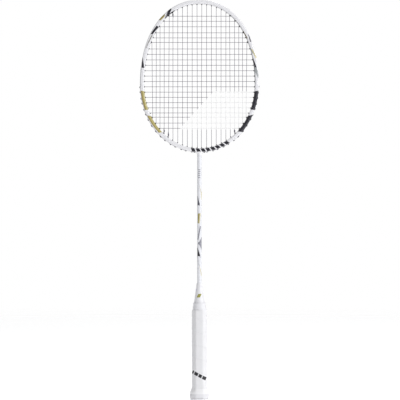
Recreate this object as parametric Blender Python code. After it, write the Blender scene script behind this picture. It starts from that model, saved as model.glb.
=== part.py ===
"""A badminton racket standing on its butt, in metres, +Z up along the shaft.

The string bed lies in the XZ plane, its front faces -Y, and the origin is the middle of
the butt's flat end. The racket has no moving pieces: everything is bonded, pressed or
held by string tension.
"""

import math

import bmesh
import bpy
import numpy as np
from mathutils import Matrix, Vector

# Whole racket
OVERALL_LENGTH = 0.675
GAP = 0.0003                  # clearance between two pieces that touch

# Head: the outer edge is half a superellipse above its widest line and half below it
HEAD_WIDTH = 0.2005
HEAD_UPPER_HEIGHT = 0.142     # widest line to the top edge
HEAD_LOWER_HEIGHT = 0.115     # widest line to the throat edge
HEAD_UPPER_POWER = 2.15
HEAD_LOWER_POWER = 2.05
FRAME_WIDTH = 0.0068          # across the frame's section, in the plane of the strings
FRAME_DEPTH = 0.0104          # across the frame's section, front to back
FRAME_WALL = 0.0012
FRAME_CORNER = 0.0021         # chamfer that stands for the section's rounded corners
CAVITY_TAPER = 0.58           # the hollow's depth at its outer and inner sides, as a share

# String groove in the frame's outer side; it runs out below the widest line
GROOVE_FLOOR_WIDTH = 0.0042
GROOVE_SLOPE = 0.0004         # how much wider the groove is at its mouth, each side
GROOVE_FADE_START = 0.010     # above the widest line, where the groove starts to run out
GROOVE_FADE_LENGTH = 0.030

# Throat, T-joint and shaft
NECK_FLARE = 0.0019           # how much wider than the shaft the neck is at the frame, each side
NECK_SWELL = 0.0011           # the same from front to back
NECK_LENGTH = 0.0048
NECK_CURVE = 2.4              # how quickly the flare narrows below the frame
NECK_RINGS = (0.0, 0.2, 0.45, 1.0)   # where the neck's rings lie, top to bottom
SHAFT_RADIUS = 0.0038
SHAFT_WALL = 0.0013
SHAFT_INSERT = 0.085          # how far the shaft goes into the wooden handle
T_JOINT_ARM = 0.023           # along the frame from the middle, each way
T_JOINT_LEG = 0.022           # below the neck, inside the shaft
T_JOINT_STEPS = 8
PLUG_LENGTH = 0.008
SHAFT_SIDES = 20
BORE_SIDES = 12

# Strings
STRING_RADIUS = 0.00035
STRING_SLACK = 0.00002        # more than the least distance between mains and crosses
MAIN_COUNT = 22
MAIN_PITCH = 0.0083           # between the mains near the middle
MAIN_EVEN_COUNT = 6           # mains on each side of the middle that keep that pitch
MAIN_PITCH_STEP = 0.0003      # how much each later pitch is smaller than the one before
CROSS_COUNT = 22
CROSS_PITCH = 0.00963         # between the top two crosses
CROSS_PITCH_STEP = 0.000045   # each gap further down is this much smaller
CROSS_TOP_DROP = 0.025        # top edge of the head down to the first cross
RUN_STEP = 0.010              # longest straight piece of a string along the frame
SHARED_HOLE_PITCH = 0.0042    # a main and a cross that come this close share a hole

# Grommets: short barrels joined by a thin strip along the frame's outer side
BARREL_WALL = 0.00045
BARREL_PROUD = 0.0010         # how far a barrel stands out of the frame's inner side
BARREL_SIDES = 6
STRIP_THICKNESS = 0.0006
STRIP_WIDTH = 0.0034
STRIP_END = 0.0018            # strip left beyond its last barrel
STRIP_EXTRA_LIFT = 0.000045   # its straight pieces stay clear of the frame's curve
HOLES_PER_STRIP = 4
THROAT_LEAN = 0.0036          # how far the two throat holes lean away from the neck

# Tie-off knots
KNOT_WALL = 0.0005
KNOT_HEIGHT = 0.0018
KNOT_EDGE = 0.00036           # slope at each end of a knot
KNOT_SIDES = 8
KNOT_REACH = 0.0031           # frame's inner side to the middle of the knot
TIE_TAIL = 0.0004             # string end beyond the barrel
LANE_CHANGE = 0.0030          # length over which a tied end moves to its own lane

# Cone
CONE_TOP = 0.1965
CONE_LIP = 0.0009             # how far the cone's top stands out from the shaft
CONE_EDGE = 0.0004            # chamfer round the cone's top
CONE_CURVE = 1.08             # 1 is a straight cone, more is a hollow one
CONE_RINGS = 5
CONE_SIDES = 24

# Handle: an octagon with wide front and back facets, and its grip
GRIP_WIDTH = 0.0252
GRIP_DEPTH = 0.0216
GRIP_FACE_WIDTH = 0.0120      # front and back facets
GRIP_SIDE_WIDTH = 0.0090      # left and right facets
GRIP_THICKNESS = 0.0017
HANDLE_TOP = 0.1602
HANDLE_CORNER = 0.0008
HANDLE_POINTS = 16            # an octagon with each corner cut to two points
FACET_GROWTH = 0.4142         # a facet's growth for each length that the outline moves out
SHOULDER_HEIGHT = 0.0125      # how far below its top the handle starts to slope in
SHOULDER_RADIUS = 0.0105      # the handle is round where it meets the cone
BADGE_THICKNESS = 0.0030
BADGE_INSET = 0.0016          # the badge's rim inside the butt's widest outline
BADGE_EDGE = 0.0018           # slope of the badge's rounded edge
BUTT_FLARE = 0.0036           # how much wider the butt is than the handle, each side
BUTT_FLARE_LOW = 0.0075       # the flare's widest line
BUTT_FLARE_TOP = 0.0215       # where the flare meets the straight handle
TAPE_THICKNESS = 0.0004
TAPE_BOTTOM = 0.1515
TAPE_TOP = 0.1632

# Tack that holds the grip's start to the wood
TACK_HEIGHT = 0.032
TACK_HEAD_RADIUS = 0.0015
TACK_HEAD_THICKNESS = 0.0006
TACK_SHANK_RADIUS = 0.0005
TACK_LENGTH = 0.0050
TACK_SIDES = 10
TACK_TIP = 0.0010             # length of its point

# The mains beside which the string ends are tied: which end, on each side of the racket
MAIN_TIE = ("main", 7, "low")
CROSS_LOW_TIE = ("main", 6, "low")
CROSS_HIGH_TIE = ("main", 5, "high")
TIE_ENDS = {1: [MAIN_TIE], -1: [MAIN_TIE, CROSS_LOW_TIE, CROSS_HIGH_TIE]}

# Cutters and overlaps
THROUGH = 0.002               # how far a cutter stands out of what it cuts
STEP_SLOPE = 0.0001           # height of a turned step, so that no face is counted twice
SEARCH_STEPS = 1500           # places tried on one side of the head to find a hole's place

# Places worked out from the sizes above
WIDEST = OVERALL_LENGTH - HEAD_UPPER_HEIGHT
THROAT = WIDEST - HEAD_LOWER_HEIGHT
NECK_BOTTOM = THROAT - NECK_LENGTH
STRING_OFFSET = STRING_RADIUS + GAP / 2 + STRING_SLACK   # mains in front, crosses behind
GROOVE_DEPTH = 2 * GAP + STRIP_THICKNESS + 2 * STRING_RADIUS
STRIP_LIFT = GAP + STRIP_EXTRA_LIFT
NARROW_BORE = STRING_RADIUS + GAP
SHARED_BORE = STRING_RADIUS + STRING_OFFSET + GAP
TIE_LANE = 3 * STRING_OFFSET  # a tied end runs beside the others, in a lane further out
SHAFT_BORE = SHAFT_RADIUS - SHAFT_WALL
BORE_FIT = (SHAFT_BORE - GAP) * math.cos(math.pi / BORE_SIDES)   # clear of the bore's flats
CONE_TOP_RADIUS = SHAFT_RADIUS + CONE_LIP
SHAFT_BOTTOM = HANDLE_TOP - SHAFT_INSERT


def clear_scene():
    for old in list(bpy.data.objects):
        bpy.data.objects.remove(old, do_unlink=True)


def make_material(name, colour, roughness, metallic=0.0):
    material = bpy.data.materials.new(name)
    material.use_nodes = True
    shader = material.node_tree.nodes["Principled BSDF"]
    shader.inputs["Base Color"].default_value = (*colour, 1.0)
    shader.inputs["Roughness"].default_value = roughness
    shader.inputs["Metallic"].default_value = metallic
    return material


def add_object(name, mesh, material=None):
    thing = bpy.data.objects.new(name, mesh)
    bpy.context.scene.collection.objects.link(thing)
    if material:
        mesh.materials.append(material)
        mesh.shade_smooth()
        mesh.set_sharp_from_angle(angle=math.radians(35))
    return thing


def mesh_of(name, form):
    bmesh.ops.recalc_face_normals(form, faces=form.faces)
    mesh = bpy.data.meshes.new(name)
    form.to_mesh(mesh)
    form.free()
    return mesh


def loft(form, rings, closed_loop=False):
    """Skins a list of point rings; the ends are capped unless the rings run in a loop."""
    loops = [[form.verts.new(point) for point in ring] for ring in rings]
    size = len(loops[0])
    pairs = list(zip(loops, loops[1:]))
    if closed_loop:
        pairs.append((loops[-1], loops[0]))
    for low, high in pairs:
        for k in range(size):
            after = (k + 1) % size
            form.faces.new((low[k], low[after], high[after], high[k]))
    if not closed_loop:
        form.faces.new(loops[0])
        form.faces.new(loops[-1])


def ellipse(half_width, half_depth, height, sides):
    steps = [2 * math.pi * k / sides for k in range(sides)]
    return [Vector((half_width * math.cos(a), half_depth * math.sin(a), height)) for a in steps]


def circle(radius, height, sides):
    return ellipse(radius, radius, height, sides)


def turned(form, profile, sides):
    """A solid of revolution about Z from (radius, height) pairs, capped at both ends."""
    loft(form, [circle(radius, height, sides) for radius, height in profile])


def hide_cutter(cutter):
    cutter.hide_render = True
    cutter.display_type = "WIRE"
    return cutter


def boolean(thing, other, operation):
    step = thing.modifiers.new(operation.title(), "BOOLEAN")
    step.operation = operation
    step.solver = "EXACT"
    step.object = hide_cutter(other)


class HeadCurve:
    """The outer edge of the head by arc length, from the throat up the +X side and round."""

    def __init__(self, samples=6000):
        turn = np.linspace(-math.pi / 2, 1.5 * math.pi, samples + 1)
        upper = np.sin(turn) >= 0
        power = np.where(upper, HEAD_UPPER_POWER, HEAD_LOWER_POWER)
        height = np.where(upper, HEAD_UPPER_HEIGHT, HEAD_LOWER_HEIGHT)
        across = np.sign(np.cos(turn)) * np.abs(np.cos(turn)) ** (2 / power)
        along = np.sign(np.sin(turn)) * np.abs(np.sin(turn)) ** (2 / power)
        self.x = HEAD_WIDTH / 2 * across
        self.z = WIDEST + height * along
        step = np.hypot(np.diff(self.x), np.diff(self.z))
        self.s = np.concatenate([[0.0], np.cumsum(step)])
        self.length = self.s[-1]

    def point(self, s):
        s %= self.length
        return Vector((np.interp(s, self.s, self.x), 0.0, np.interp(s, self.s, self.z)))

    def tangent(self, s, reach=0.0015):
        return (self.point(s + reach) - self.point(s - reach)).normalized()

    def normal(self, s):
        """Outward, in the plane of the strings."""
        along = self.tangent(s)
        return Vector((along.z, 0.0, -along.x))

    def place(self, s, out, back=0.0):
        """The point at s, moved outwards and towards +Y."""
        return self.point(s) + self.normal(s) * out + Vector((0.0, back, 0.0))

    def where_inner(self, axis, value, upper):
        """The s on the +X side where the frame's inner side meets x = value or z = value."""
        best = None
        for s in np.linspace(0.0, self.length / 2, SEARCH_STEPS):
            at = self.place(s, -FRAME_WIDTH)
            if axis == "x" and (at.z > WIDEST) != upper:
                continue
            miss = abs((at.x if axis == "x" else at.z) - value)
            if best is None or miss < best[0]:
                best = (miss, s)
        return best[1]


def groove_depth(height):
    """Full above the widest line, none some way below it, with a smooth run-out."""
    start = WIDEST + GROOVE_FADE_START
    share = min(1.0, max(0.0, (start - height) / GROOVE_FADE_LENGTH))
    return GROOVE_DEPTH * (1 - share * share * (3 - 2 * share))


def main_offsets():
    """Distances of one side's mains from the middle."""
    offsets = [MAIN_PITCH / 2]
    for k in range(1, MAIN_COUNT // 2):
        shrink = 0.0
        if k >= MAIN_EVEN_COUNT:
            shrink = MAIN_PITCH_STEP * (k - MAIN_EVEN_COUNT + 2)
        offsets.append(offsets[-1] + MAIN_PITCH - shrink)
    return offsets


def cross_heights():
    first = OVERALL_LENGTH - CROSS_TOP_DROP
    narrowing = [CROSS_PITCH_STEP * k * (k - 1) / 2 for k in range(CROSS_COUNT)]
    return [first - CROSS_PITCH * k + narrowing[k] for k in range(CROSS_COUNT)]


def one_side_holes(head):
    """Holes of the +X side in order from the throat: place, strings through it, width."""
    ends = []
    for k, x in enumerate(main_offsets()):
        ends.append((head.where_inner("x", x, False), ("main", k, "low")))
        ends.append((head.where_inner("x", x, True), ("main", k, "high")))
    for k, z in enumerate(cross_heights()):
        ends.append((head.where_inner("z", z, None), ("cross", k, "side")))
    ends.sort()
    holes = []
    for s, end in ends:
        last = holes[-1] if holes else None
        if last and s - last["s"] < SHARED_HOLE_PITCH and last["ends"][0][0] != end[0]:
            last["s"] = (last["s"] + s) / 2
            last["ends"].append(end)
        else:
            holes.append({"s": s, "ends": [end], "lean": 0.0, "tie": False})
    for hole in holes:
        if hole["ends"] == [("main", 0, "low")]:
            hole["lean"] = THROAT_LEAN
    return holes


def all_holes(head):
    """Both sides' holes; each knows its side and what passes through it."""
    holes = []
    for side in (1, -1):
        for hole in one_side_holes(head):
            copy = dict(hole, side=side)
            tied = TIE_ENDS[side]
            copy["tie"] = any(end in tied for end in hole["ends"])
            copy["shared"] = len(hole["ends"]) > 1 or copy["tie"]
            if side < 0:
                copy["s"] = head.length - hole["s"]
                copy["lean"] = -hole["lean"]
            holes.append(copy)
    return holes


def hole_bore(hole):
    return SHARED_BORE if hole["shared"] else NARROW_BORE


def hole_back(hole):
    """A narrow hole is centred on its own string's layer, a shared one on the frame."""
    if hole["shared"]:
        return 0.0
    return -STRING_OFFSET if hole["ends"][0][0] == "main" else STRING_OFFSET


def hole_axis(head, hole):
    """The hole's mouths on the frame's inner and outer sides, and its direction out."""
    inner = head.place(hole["s"], -FRAME_WIDTH)
    outer = head.place(hole["s"], 0.0) + head.tangent(hole["s"]) * hole["lean"]
    return inner, outer, (outer - inner).normalized()


def prism_along(form, start, end, radius, sides, back):
    """A straight prism between two points, moved towards +Y by back."""
    shift = Vector((0.0, back, 0.0))
    axis = (end - start).normalized()
    across = Vector((0.0, 1.0, 0.0))
    third = axis.cross(across)
    rings = []
    for centre in (start + shift, end + shift):
        ring = []
        for k in range(sides):
            angle = 2 * math.pi * (k + 0.5) / sides
            spoke = across * math.cos(angle) + third * math.sin(angle)
            ring.append(centre + spoke * radius)
        rings.append(ring)
    loft(form, rings)


def frame_section(head, s):
    """The frame's outer skin at s, as a ring of points."""
    depth = FRAME_DEPTH / 2
    inner = -FRAME_WIDTH
    groove = groove_depth(head.point(s).z)
    floor = GROOVE_FLOOR_WIDTH / 2
    half = [
        (-groove, floor),
        (0.0, floor + GROOVE_SLOPE),
        (-FRAME_CORNER / 2, depth - FRAME_CORNER / 2),
        (-FRAME_CORNER, depth),
        (inner + FRAME_CORNER, depth),
        (inner, depth - FRAME_CORNER),
    ]
    ring = half + [(out, -back) for out, back in reversed(half)]
    return [head.place(s, out, back) for out, back in ring]


def cavity_section(head, s, clearance=0.0):
    """The hollow inside the frame at s, less a clearance for what sits in it."""
    depth = FRAME_DEPTH / 2 - FRAME_WALL - clearance
    top = -groove_depth(head.point(s).z) - FRAME_WALL - clearance
    bottom = -FRAME_WIDTH + FRAME_WALL + clearance
    middle = (top + bottom) / 2
    narrow = depth * CAVITY_TAPER
    half = [(top, narrow), (middle, depth), (bottom, narrow)]
    ring = half + [(out, -back) for out, back in reversed(half)]
    return [head.place(s, out, back) for out, back in ring]


def between_holes(head, holes):
    """Places midway between neighbouring holes, so that each hole has a facet of its own."""
    places = sorted(hole["s"] for hole in holes)
    after = places[1:] + [places[0] + head.length]
    return [(here + there) / 2 for here, there in zip(places, after)]


def hole_cutter(name, head, holes):
    form = bmesh.new()
    for hole in holes:
        inner, outer, axis = hole_axis(head, hole)
        radius = hole_bore(hole) + BARREL_WALL + GAP
        reach = FRAME_WIDTH
        start = inner - axis * reach
        end = outer + axis * reach
        prism_along(form, start, end, radius, BARREL_SIDES, hole_back(hole))
    return add_object(name, mesh_of(name, form))


def neck_ring(share, height):
    """A section of the neck: a share of its flare wider than the shaft."""
    half_width = SHAFT_RADIUS + NECK_FLARE * share
    half_depth = SHAFT_RADIUS + NECK_SWELL * share
    return ellipse(half_width, half_depth, height, SHAFT_SIDES)


def make_frame(head, holes, paint):
    form = bmesh.new()
    places = between_holes(head, holes)
    loft(form, [frame_section(head, s) for s in places], closed_loop=True)
    frame = add_object("frame_hoop", mesh_of("frame_hoop", form), paint)

    neck = bmesh.new()
    inside = THROAT + FRAME_WIDTH / 2
    loft(neck, [neck_ring(1.0, inside)] + [
        neck_ring((1 - drop) ** NECK_CURVE, THROAT + GAP - (NECK_LENGTH + GAP) * drop)
        for drop in NECK_RINGS
    ])
    boolean(frame, add_object("neck_form", mesh_of("neck_form", neck)), "UNION")

    hollow = bmesh.new()
    loft(hollow, [cavity_section(head, s) for s in places], closed_loop=True)
    boolean(frame, add_object("cavity_form", mesh_of("cavity_form", hollow)), "DIFFERENCE")

    bore = bmesh.new()
    turned(bore, [(SHAFT_BORE, inside), (SHAFT_BORE, NECK_BOTTOM - THROUGH)], BORE_SIDES)
    boolean(frame, add_object("neck_bore_form", mesh_of("neck_bore_form", bore)), "DIFFERENCE")

    boolean(frame, hole_cutter("frame_hole_form", head, holes), "DIFFERENCE")
    return frame


def make_t_joint(head, holes, carbon):
    """A moulded tee: two arms in the frame's hollow and a leg down into the shaft."""
    form = bmesh.new()
    places = [T_JOINT_ARM * (2 * k / T_JOINT_STEPS - 1) for k in range(T_JOINT_STEPS + 1)]
    loft(form, [cavity_section(head, s, GAP) for s in places])
    joint = add_object("t_joint", mesh_of("t_joint", form), carbon)

    leg = bmesh.new()
    inside = THROAT + FRAME_WIDTH / 2
    turned(leg, [(BORE_FIT, inside), (BORE_FIT, NECK_BOTTOM - T_JOINT_LEG)], BORE_SIDES)
    boolean(joint, add_object("t_joint_leg_form", mesh_of("t_joint_leg_form", leg)), "UNION")
    reach = 2 * T_JOINT_ARM
    near = [hole for hole in holes if min(hole["s"], head.length - hole["s"]) < reach]
    boolean(joint, hole_cutter("t_joint_hole_form", head, near), "DIFFERENCE")
    return joint


def make_shaft(paint, plug_material):
    form = bmesh.new()
    turned(form, [(SHAFT_RADIUS, NECK_BOTTOM - GAP), (SHAFT_RADIUS, SHAFT_BOTTOM)], SHAFT_SIDES)
    shaft = add_object("shaft_tube", mesh_of("shaft_tube", form), paint)
    bore = bmesh.new()
    turned(bore, [(SHAFT_BORE, NECK_BOTTOM), (SHAFT_BORE, SHAFT_BOTTOM - THROUGH)], BORE_SIDES)
    boolean(shaft, add_object("shaft_bore_form", mesh_of("shaft_bore_form", bore)), "DIFFERENCE")

    plug = bmesh.new()
    turned(plug, [(BORE_FIT, SHAFT_BOTTOM + PLUG_LENGTH), (BORE_FIT, SHAFT_BOTTOM)], BORE_SIDES)
    add_object("shaft_end_plug", mesh_of("shaft_end_plug", plug), plug_material)


def strip_name(side, number):
    return f"grommet_strip_{'right' if side > 0 else 'left'}_{number:02d}"


def make_grommet_strip(name, head, holes, nylon):
    """Barrels for neighbouring holes, joined by a thin strip on the frame's outer side."""
    form = bmesh.new()
    mouths = [hole["s"] + hole["lean"] for hole in holes]
    places = [mouths[0] - STRIP_END, *mouths, mouths[-1] + STRIP_END]
    rings = []
    for s in places:
        low = STRIP_LIFT - groove_depth(head.point(s).z)
        high = low + STRIP_THICKNESS
        half = STRIP_WIDTH / 2
        corners = [(low, -half), (low, half), (high, half), (high, -half)]
        rings.append([head.place(s, out, back) for out, back in corners])
    loft(form, rings)
    strip = add_object(name, mesh_of(name, form), nylon)

    barrels = bmesh.new()
    bores = bmesh.new()
    for hole in holes:
        inner, outer, axis = hole_axis(head, hole)
        back = hole_back(hole)
        low = STRIP_LIFT - groove_depth(head.point(hole["s"]).z)
        end = outer + axis * (low + STRIP_THICKNESS / 2)
        start = inner - axis * BARREL_PROUD
        bore = hole_bore(hole)
        prism_along(barrels, start, end, bore + BARREL_WALL, BARREL_SIDES, back)
        start -= axis * THROUGH / 2
        end += axis * THROUGH
        prism_along(bores, start, end, bore, BARREL_SIDES, back)
    boolean(strip, add_object(name + "_barrel_form", mesh_of(name + "_b", barrels)), "UNION")
    boolean(strip, add_object(name + "_bore_form", mesh_of(name + "_o", bores)), "DIFFERENCE")


def make_grommets(head, holes, nylon):
    """Both sides' strips are numbered from the throat to the top."""
    for side in (1, -1):
        mine = [hole for hole in holes if hole["side"] == side]
        for number, first in enumerate(range(0, len(mine), HOLES_PER_STRIP)):
            group = sorted(mine[first:first + HOLES_PER_STRIP], key=lambda hole: hole["s"])
            make_grommet_strip(strip_name(side, number + 1), head, group, nylon)


def find_hole(holes, side, end):
    return next(hole for hole in holes if hole["side"] == side and end in hole["ends"])


def inner_turn(head, hole, back):
    """Where a string bends as it leaves the barrel on the inner side."""
    inner, _, axis = hole_axis(head, hole)
    return inner - axis * (BARREL_PROUD + STRING_RADIUS) + Vector((0.0, back, 0.0))


def outer_lift(height):
    """How far outside the frame's edge a string runs along the strip."""
    return STRIP_LIFT + STRIP_THICKNESS + GAP + STRING_RADIUS - groove_depth(height)


def outer_turn(head, hole, back):
    """Where a string bends as it leaves the barrel on the outer side."""
    _, outer, axis = hole_axis(head, hole)
    lift = outer_lift(outer.z)
    return outer + axis * lift + Vector((0.0, back, 0.0))


def outer_run(head, start, end, back, lane=False):
    """Points along the frame's outer side between two holes, both ends left out.

    A tied end changes to its own lane close to the first hole and leaves it close to the last.
    """
    first = start["s"] + start["lean"]
    last = end["s"] + end["lean"]
    if last - first > head.length / 2:
        last -= head.length
    if first - last > head.length / 2:
        last += head.length
    if lane:
        shift = math.copysign(LANE_CHANGE, last - first)
        first += shift
        last -= shift
    count = max(1, round(abs(last - first) / RUN_STEP))
    steps = range(count + 1) if lane else range(1, count)
    places = [first + (last - first) * k / count for k in steps]
    return [head.place(s, outer_lift(head.point(s).z), back) for s in places]


def string_object(name, points, material):
    curve = bpy.data.curves.new(name, "CURVE")
    curve.dimensions = "3D"
    curve.bevel_depth = STRING_RADIUS
    curve.bevel_resolution = 2
    curve.use_fill_caps = True
    curve.twist_mode = "MINIMUM"
    spline = curve.splines.new("POLY")
    spline.points.add(len(points) - 1)
    for slot, point in zip(spline.points, points):
        slot.co = (*point, 1.0)
    curve.materials.append(material)
    thing = bpy.data.objects.new(name, curve)
    bpy.context.scene.collection.objects.link(thing)
    return thing


def tie_tail(head, hole):
    """The string's end, just out of the tie-off hole on the inner side, behind the main."""
    inner, _, axis = hole_axis(head, hole)
    return inner - axis * (BARREL_PROUD + TIE_TAIL) + Vector((0.0, STRING_OFFSET, 0.0))


def main_route(head, holes):
    """From the tie-off at the lower left, up and down over the head, to the lower right."""
    back = -STRING_OFFSET
    last = MAIN_COUNT // 2 - 1
    mains = [(-1, k) for k in range(last, -1, -1)] + [(1, k) for k in range(last + 1)]
    low_left = find_hole(holes, -1, ("main", last, "low"))
    tie_left = find_hole(holes, -1, MAIN_TIE)
    points = [tie_tail(head, tie_left)]
    points.append(outer_turn(head, tie_left, STRING_OFFSET))
    points += list(reversed(outer_run(head, low_left, tie_left, -TIE_LANE, lane=True)))
    points.append(outer_turn(head, low_left, back))
    going_up = True
    for k, (side, number) in enumerate(mains):
        ends = ["low", "high"] if going_up else ["high", "low"]
        here = [find_hole(holes, side, ("main", number, end)) for end in ends]
        points.append(inner_turn(head, here[0], back))
        points.append(inner_turn(head, here[1], back))
        points.append(outer_turn(head, here[1], back))
        if k + 1 < len(mains):
            after = find_hole(holes, mains[k + 1][0], ("main", mains[k + 1][1], ends[1]))
            points += outer_run(head, here[1], after, back)
            points.append(outer_turn(head, after, back))
        going_up = not going_up
    low_right = find_hole(holes, 1, ("main", last, "low"))
    tie_right = find_hole(holes, 1, MAIN_TIE)
    points += outer_run(head, low_right, tie_right, -TIE_LANE, lane=True)
    points.append(outer_turn(head, tie_right, STRING_OFFSET))
    points.append(tie_tail(head, tie_right))
    return points


def cross_route(head, holes):
    """From the tie-off at the upper left, side to side down the head, to the lower left."""
    back = STRING_OFFSET
    tie_high = find_hole(holes, -1, CROSS_HIGH_TIE)
    first = find_hole(holes, -1, ("cross", 0, "side"))
    points = [tie_tail(head, tie_high), outer_turn(head, tie_high, back)]
    points += outer_run(head, tie_high, first, back)
    points.append(outer_turn(head, first, back))
    side = -1
    for number in range(CROSS_COUNT):
        start = find_hole(holes, side, ("cross", number, "side"))
        end = find_hole(holes, -side, ("cross", number, "side"))
        points.append(inner_turn(head, start, back))
        points.append(inner_turn(head, end, back))
        points.append(outer_turn(head, end, back))
        side = -side
        if number + 1 < CROSS_COUNT:
            after = find_hole(holes, side, ("cross", number + 1, "side"))
            points += outer_run(head, end, after, back)
            points.append(outer_turn(head, after, back))
    tie_low = find_hole(holes, -1, CROSS_LOW_TIE)
    points += outer_run(head, end, tie_low, TIE_LANE, lane=True)
    points.append(outer_turn(head, tie_low, STRING_OFFSET))
    points.append(tie_tail(head, tie_low))
    return points


def make_knot(name, head, holes, side, end, material):
    """A knot drawn tight round the main beside the tie-off hole."""
    _, number, _ = end
    other_end = ("main", number, "high" if end[2] == "low" else "low")
    near = inner_turn(head, find_hole(holes, side, end), -STRING_OFFSET)
    far = inner_turn(head, find_hole(holes, side, other_end), -STRING_OFFSET)
    along = (far - near).normalized()
    across = Vector((0.0, 1.0, 0.0))
    third = along.cross(across)
    centre = near + along * (KNOT_REACH - BARREL_PROUD)
    half = KNOT_HEIGHT / 2
    inner = STRING_RADIUS + GAP
    outer = inner + KNOT_WALL
    rings = []
    for radius, height in ((inner, half), (outer, half - KNOT_EDGE),
                           (outer, KNOT_EDGE - half), (inner, -half)):
        ring = []
        for k in range(KNOT_SIDES):
            angle = 2 * math.pi * k / KNOT_SIDES
            spoke = across * math.cos(angle) + third * math.sin(angle)
            ring.append(centre + along * height + spoke * radius)
        rings.append(ring)
    form = bmesh.new()
    loft(form, rings, closed_loop=True)
    add_object(name, mesh_of(name, form), material)


def octagon(half_width, half_depth, face, side, height):
    """Sixteen points: an octagon with each corner cut to two points."""
    face /= 2
    side /= 2
    corners = [
        Vector((half_width, -side, height)), Vector((half_width, side, height)),
        Vector((face, half_depth, height)), Vector((-face, half_depth, height)),
        Vector((-half_width, side, height)), Vector((-half_width, -side, height)),
        Vector((-face, -half_depth, height)), Vector((face, -half_depth, height)),
    ]
    points = []
    for k, here in enumerate(corners):
        before = (corners[k - 1] - here).normalized()
        after = (corners[(k + 1) % 8] - here).normalized()
        points += [here + before * HANDLE_CORNER, here + after * HANDLE_CORNER]
    return points


def handle_section(height, inset=0.0):
    """The grip's outside at a height, moved inwards by an inset: octagonal, round at the top."""
    grow = handle_growth(height) - inset
    widen = 2 * grow * FACET_GROWTH
    ring = octagon(GRIP_WIDTH / 2 + grow, GRIP_DEPTH / 2 + grow,
                   GRIP_FACE_WIDTH + widen, GRIP_SIDE_WIDTH + widen, height)
    share = (height - HANDLE_TOP + SHOULDER_HEIGHT) / SHOULDER_HEIGHT
    if share <= 0:
        return ring
    share = min(share, 1.0)
    round_ring = round_section(SHOULDER_RADIUS - inset, height)
    return [here.lerp(there, share) for here, there in zip(ring, round_ring)]


def round_section(radius, height):
    """Sixteen points on a circle, each nearest to the octagon point of the same number."""
    angles = [2 * math.pi * (k - 1.5) / HANDLE_POINTS for k in range(HANDLE_POINTS)]
    return [Vector((radius * math.cos(a), radius * math.sin(a), height)) for a in angles]


def handle_growth(height):
    """How far the flared butt stands beyond the straight handle."""
    if height < BUTT_FLARE_LOW:
        share = (BUTT_FLARE_LOW - height) / BUTT_FLARE_LOW
        return BUTT_FLARE - BADGE_INSET * share * share
    if height < BUTT_FLARE_TOP:
        share = (height - BUTT_FLARE_LOW) / (BUTT_FLARE_TOP - BUTT_FLARE_LOW)
        return BUTT_FLARE * (0.5 + 0.5 * math.cos(math.pi * share))
    return 0.0


def butt_heights(bottom):
    middle = (BUTT_FLARE_LOW + BUTT_FLARE_TOP) / 2
    quarter = (BUTT_FLARE_TOP - BUTT_FLARE_LOW) / 4
    return [bottom, BUTT_FLARE_LOW, middle - quarter, middle, middle + quarter, BUTT_FLARE_TOP]


def make_handle_core(wood):
    form = bmesh.new()
    inset = GRIP_THICKNESS + GAP
    bottom = BADGE_THICKNESS + GAP
    heights = butt_heights(bottom) + [HANDLE_TOP - SHOULDER_HEIGHT, HANDLE_TOP]
    loft(form, [handle_section(z, inset) for z in heights])
    core = add_object("handle_core", mesh_of("handle_core", form), wood)
    bore = bmesh.new()
    radius = (SHAFT_RADIUS + GAP) / math.cos(math.pi / SHAFT_SIDES)
    turned(bore, [(radius, HANDLE_TOP + THROUGH), (radius, SHAFT_BOTTOM - GAP)], SHAFT_SIDES)
    boolean(core, add_object("handle_bore_form", mesh_of("handle_bore_form", bore)), "DIFFERENCE")
    tack_hole = add_object("tack_hole_form", mesh_of("tack_hole_form", tack_form(GAP)))
    boolean(core, tack_hole, "DIFFERENCE")


def tack_form(clearance):
    """A flat-headed tack pointing into the handle's front, its head flush with the wood."""
    form = bmesh.new()
    head = TACK_HEAD_RADIUS + clearance
    shank = TACK_SHANK_RADIUS + clearance
    seat = -TACK_HEAD_THICKNESS - clearance
    top = THROUGH if clearance else -GAP
    tip = -TACK_LENGTH - clearance
    turned(form, [(head, top), (head, seat), (shank, seat - STEP_SLOPE),
                  (shank, tip + TACK_TIP), (shank / 3, tip)], TACK_SIDES)
    face = GRIP_DEPTH / 2 - GRIP_THICKNESS - GAP
    place = Matrix.Translation((0.0, -face, TACK_HEIGHT)) @ Matrix.Rotation(math.radians(90), 4, "X")
    bmesh.ops.transform(form, matrix=place, verts=form.verts)
    return form


def make_tack(steel):
    add_object("grip_tack", mesh_of("grip_tack", tack_form(0.0)), steel)


def make_badge(plastic):
    form = bmesh.new()
    rings = []
    for height, inset in ((0.0, BADGE_EDGE), (BADGE_THICKNESS / 2, BADGE_EDGE / 3),
                          (BADGE_THICKNESS, 0.0)):
        ring = handle_section(BADGE_THICKNESS, inset)
        rings.append([Vector((point.x, point.y, height)) for point in ring])
    loft(form, rings)
    add_object("butt_badge", mesh_of("butt_badge", form), plastic)


def tube_mesh(name, outer, inner):
    """A solid between an outer and an inner stack of rings, open at both ends."""
    form = bmesh.new()
    loft(form, outer + list(reversed(inner)), closed_loop=True)
    return mesh_of(name, form)


def make_grip(polyurethane):
    bottom = BADGE_THICKNESS + GAP
    step = TAPE_THICKNESS + GAP
    heights = butt_heights(bottom) + [HANDLE_TOP - SHOULDER_HEIGHT]
    outer = [handle_section(z) for z in heights]
    outer += [handle_section(TAPE_BOTTOM - GAP), handle_section(TAPE_BOTTOM, step),
              handle_section(HANDLE_TOP, step)]
    heights.append(HANDLE_TOP)
    inner = [handle_section(z, GRIP_THICKNESS) for z in heights]
    add_object("base_grip", tube_mesh("base_grip", outer, inner), polyurethane)


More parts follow.
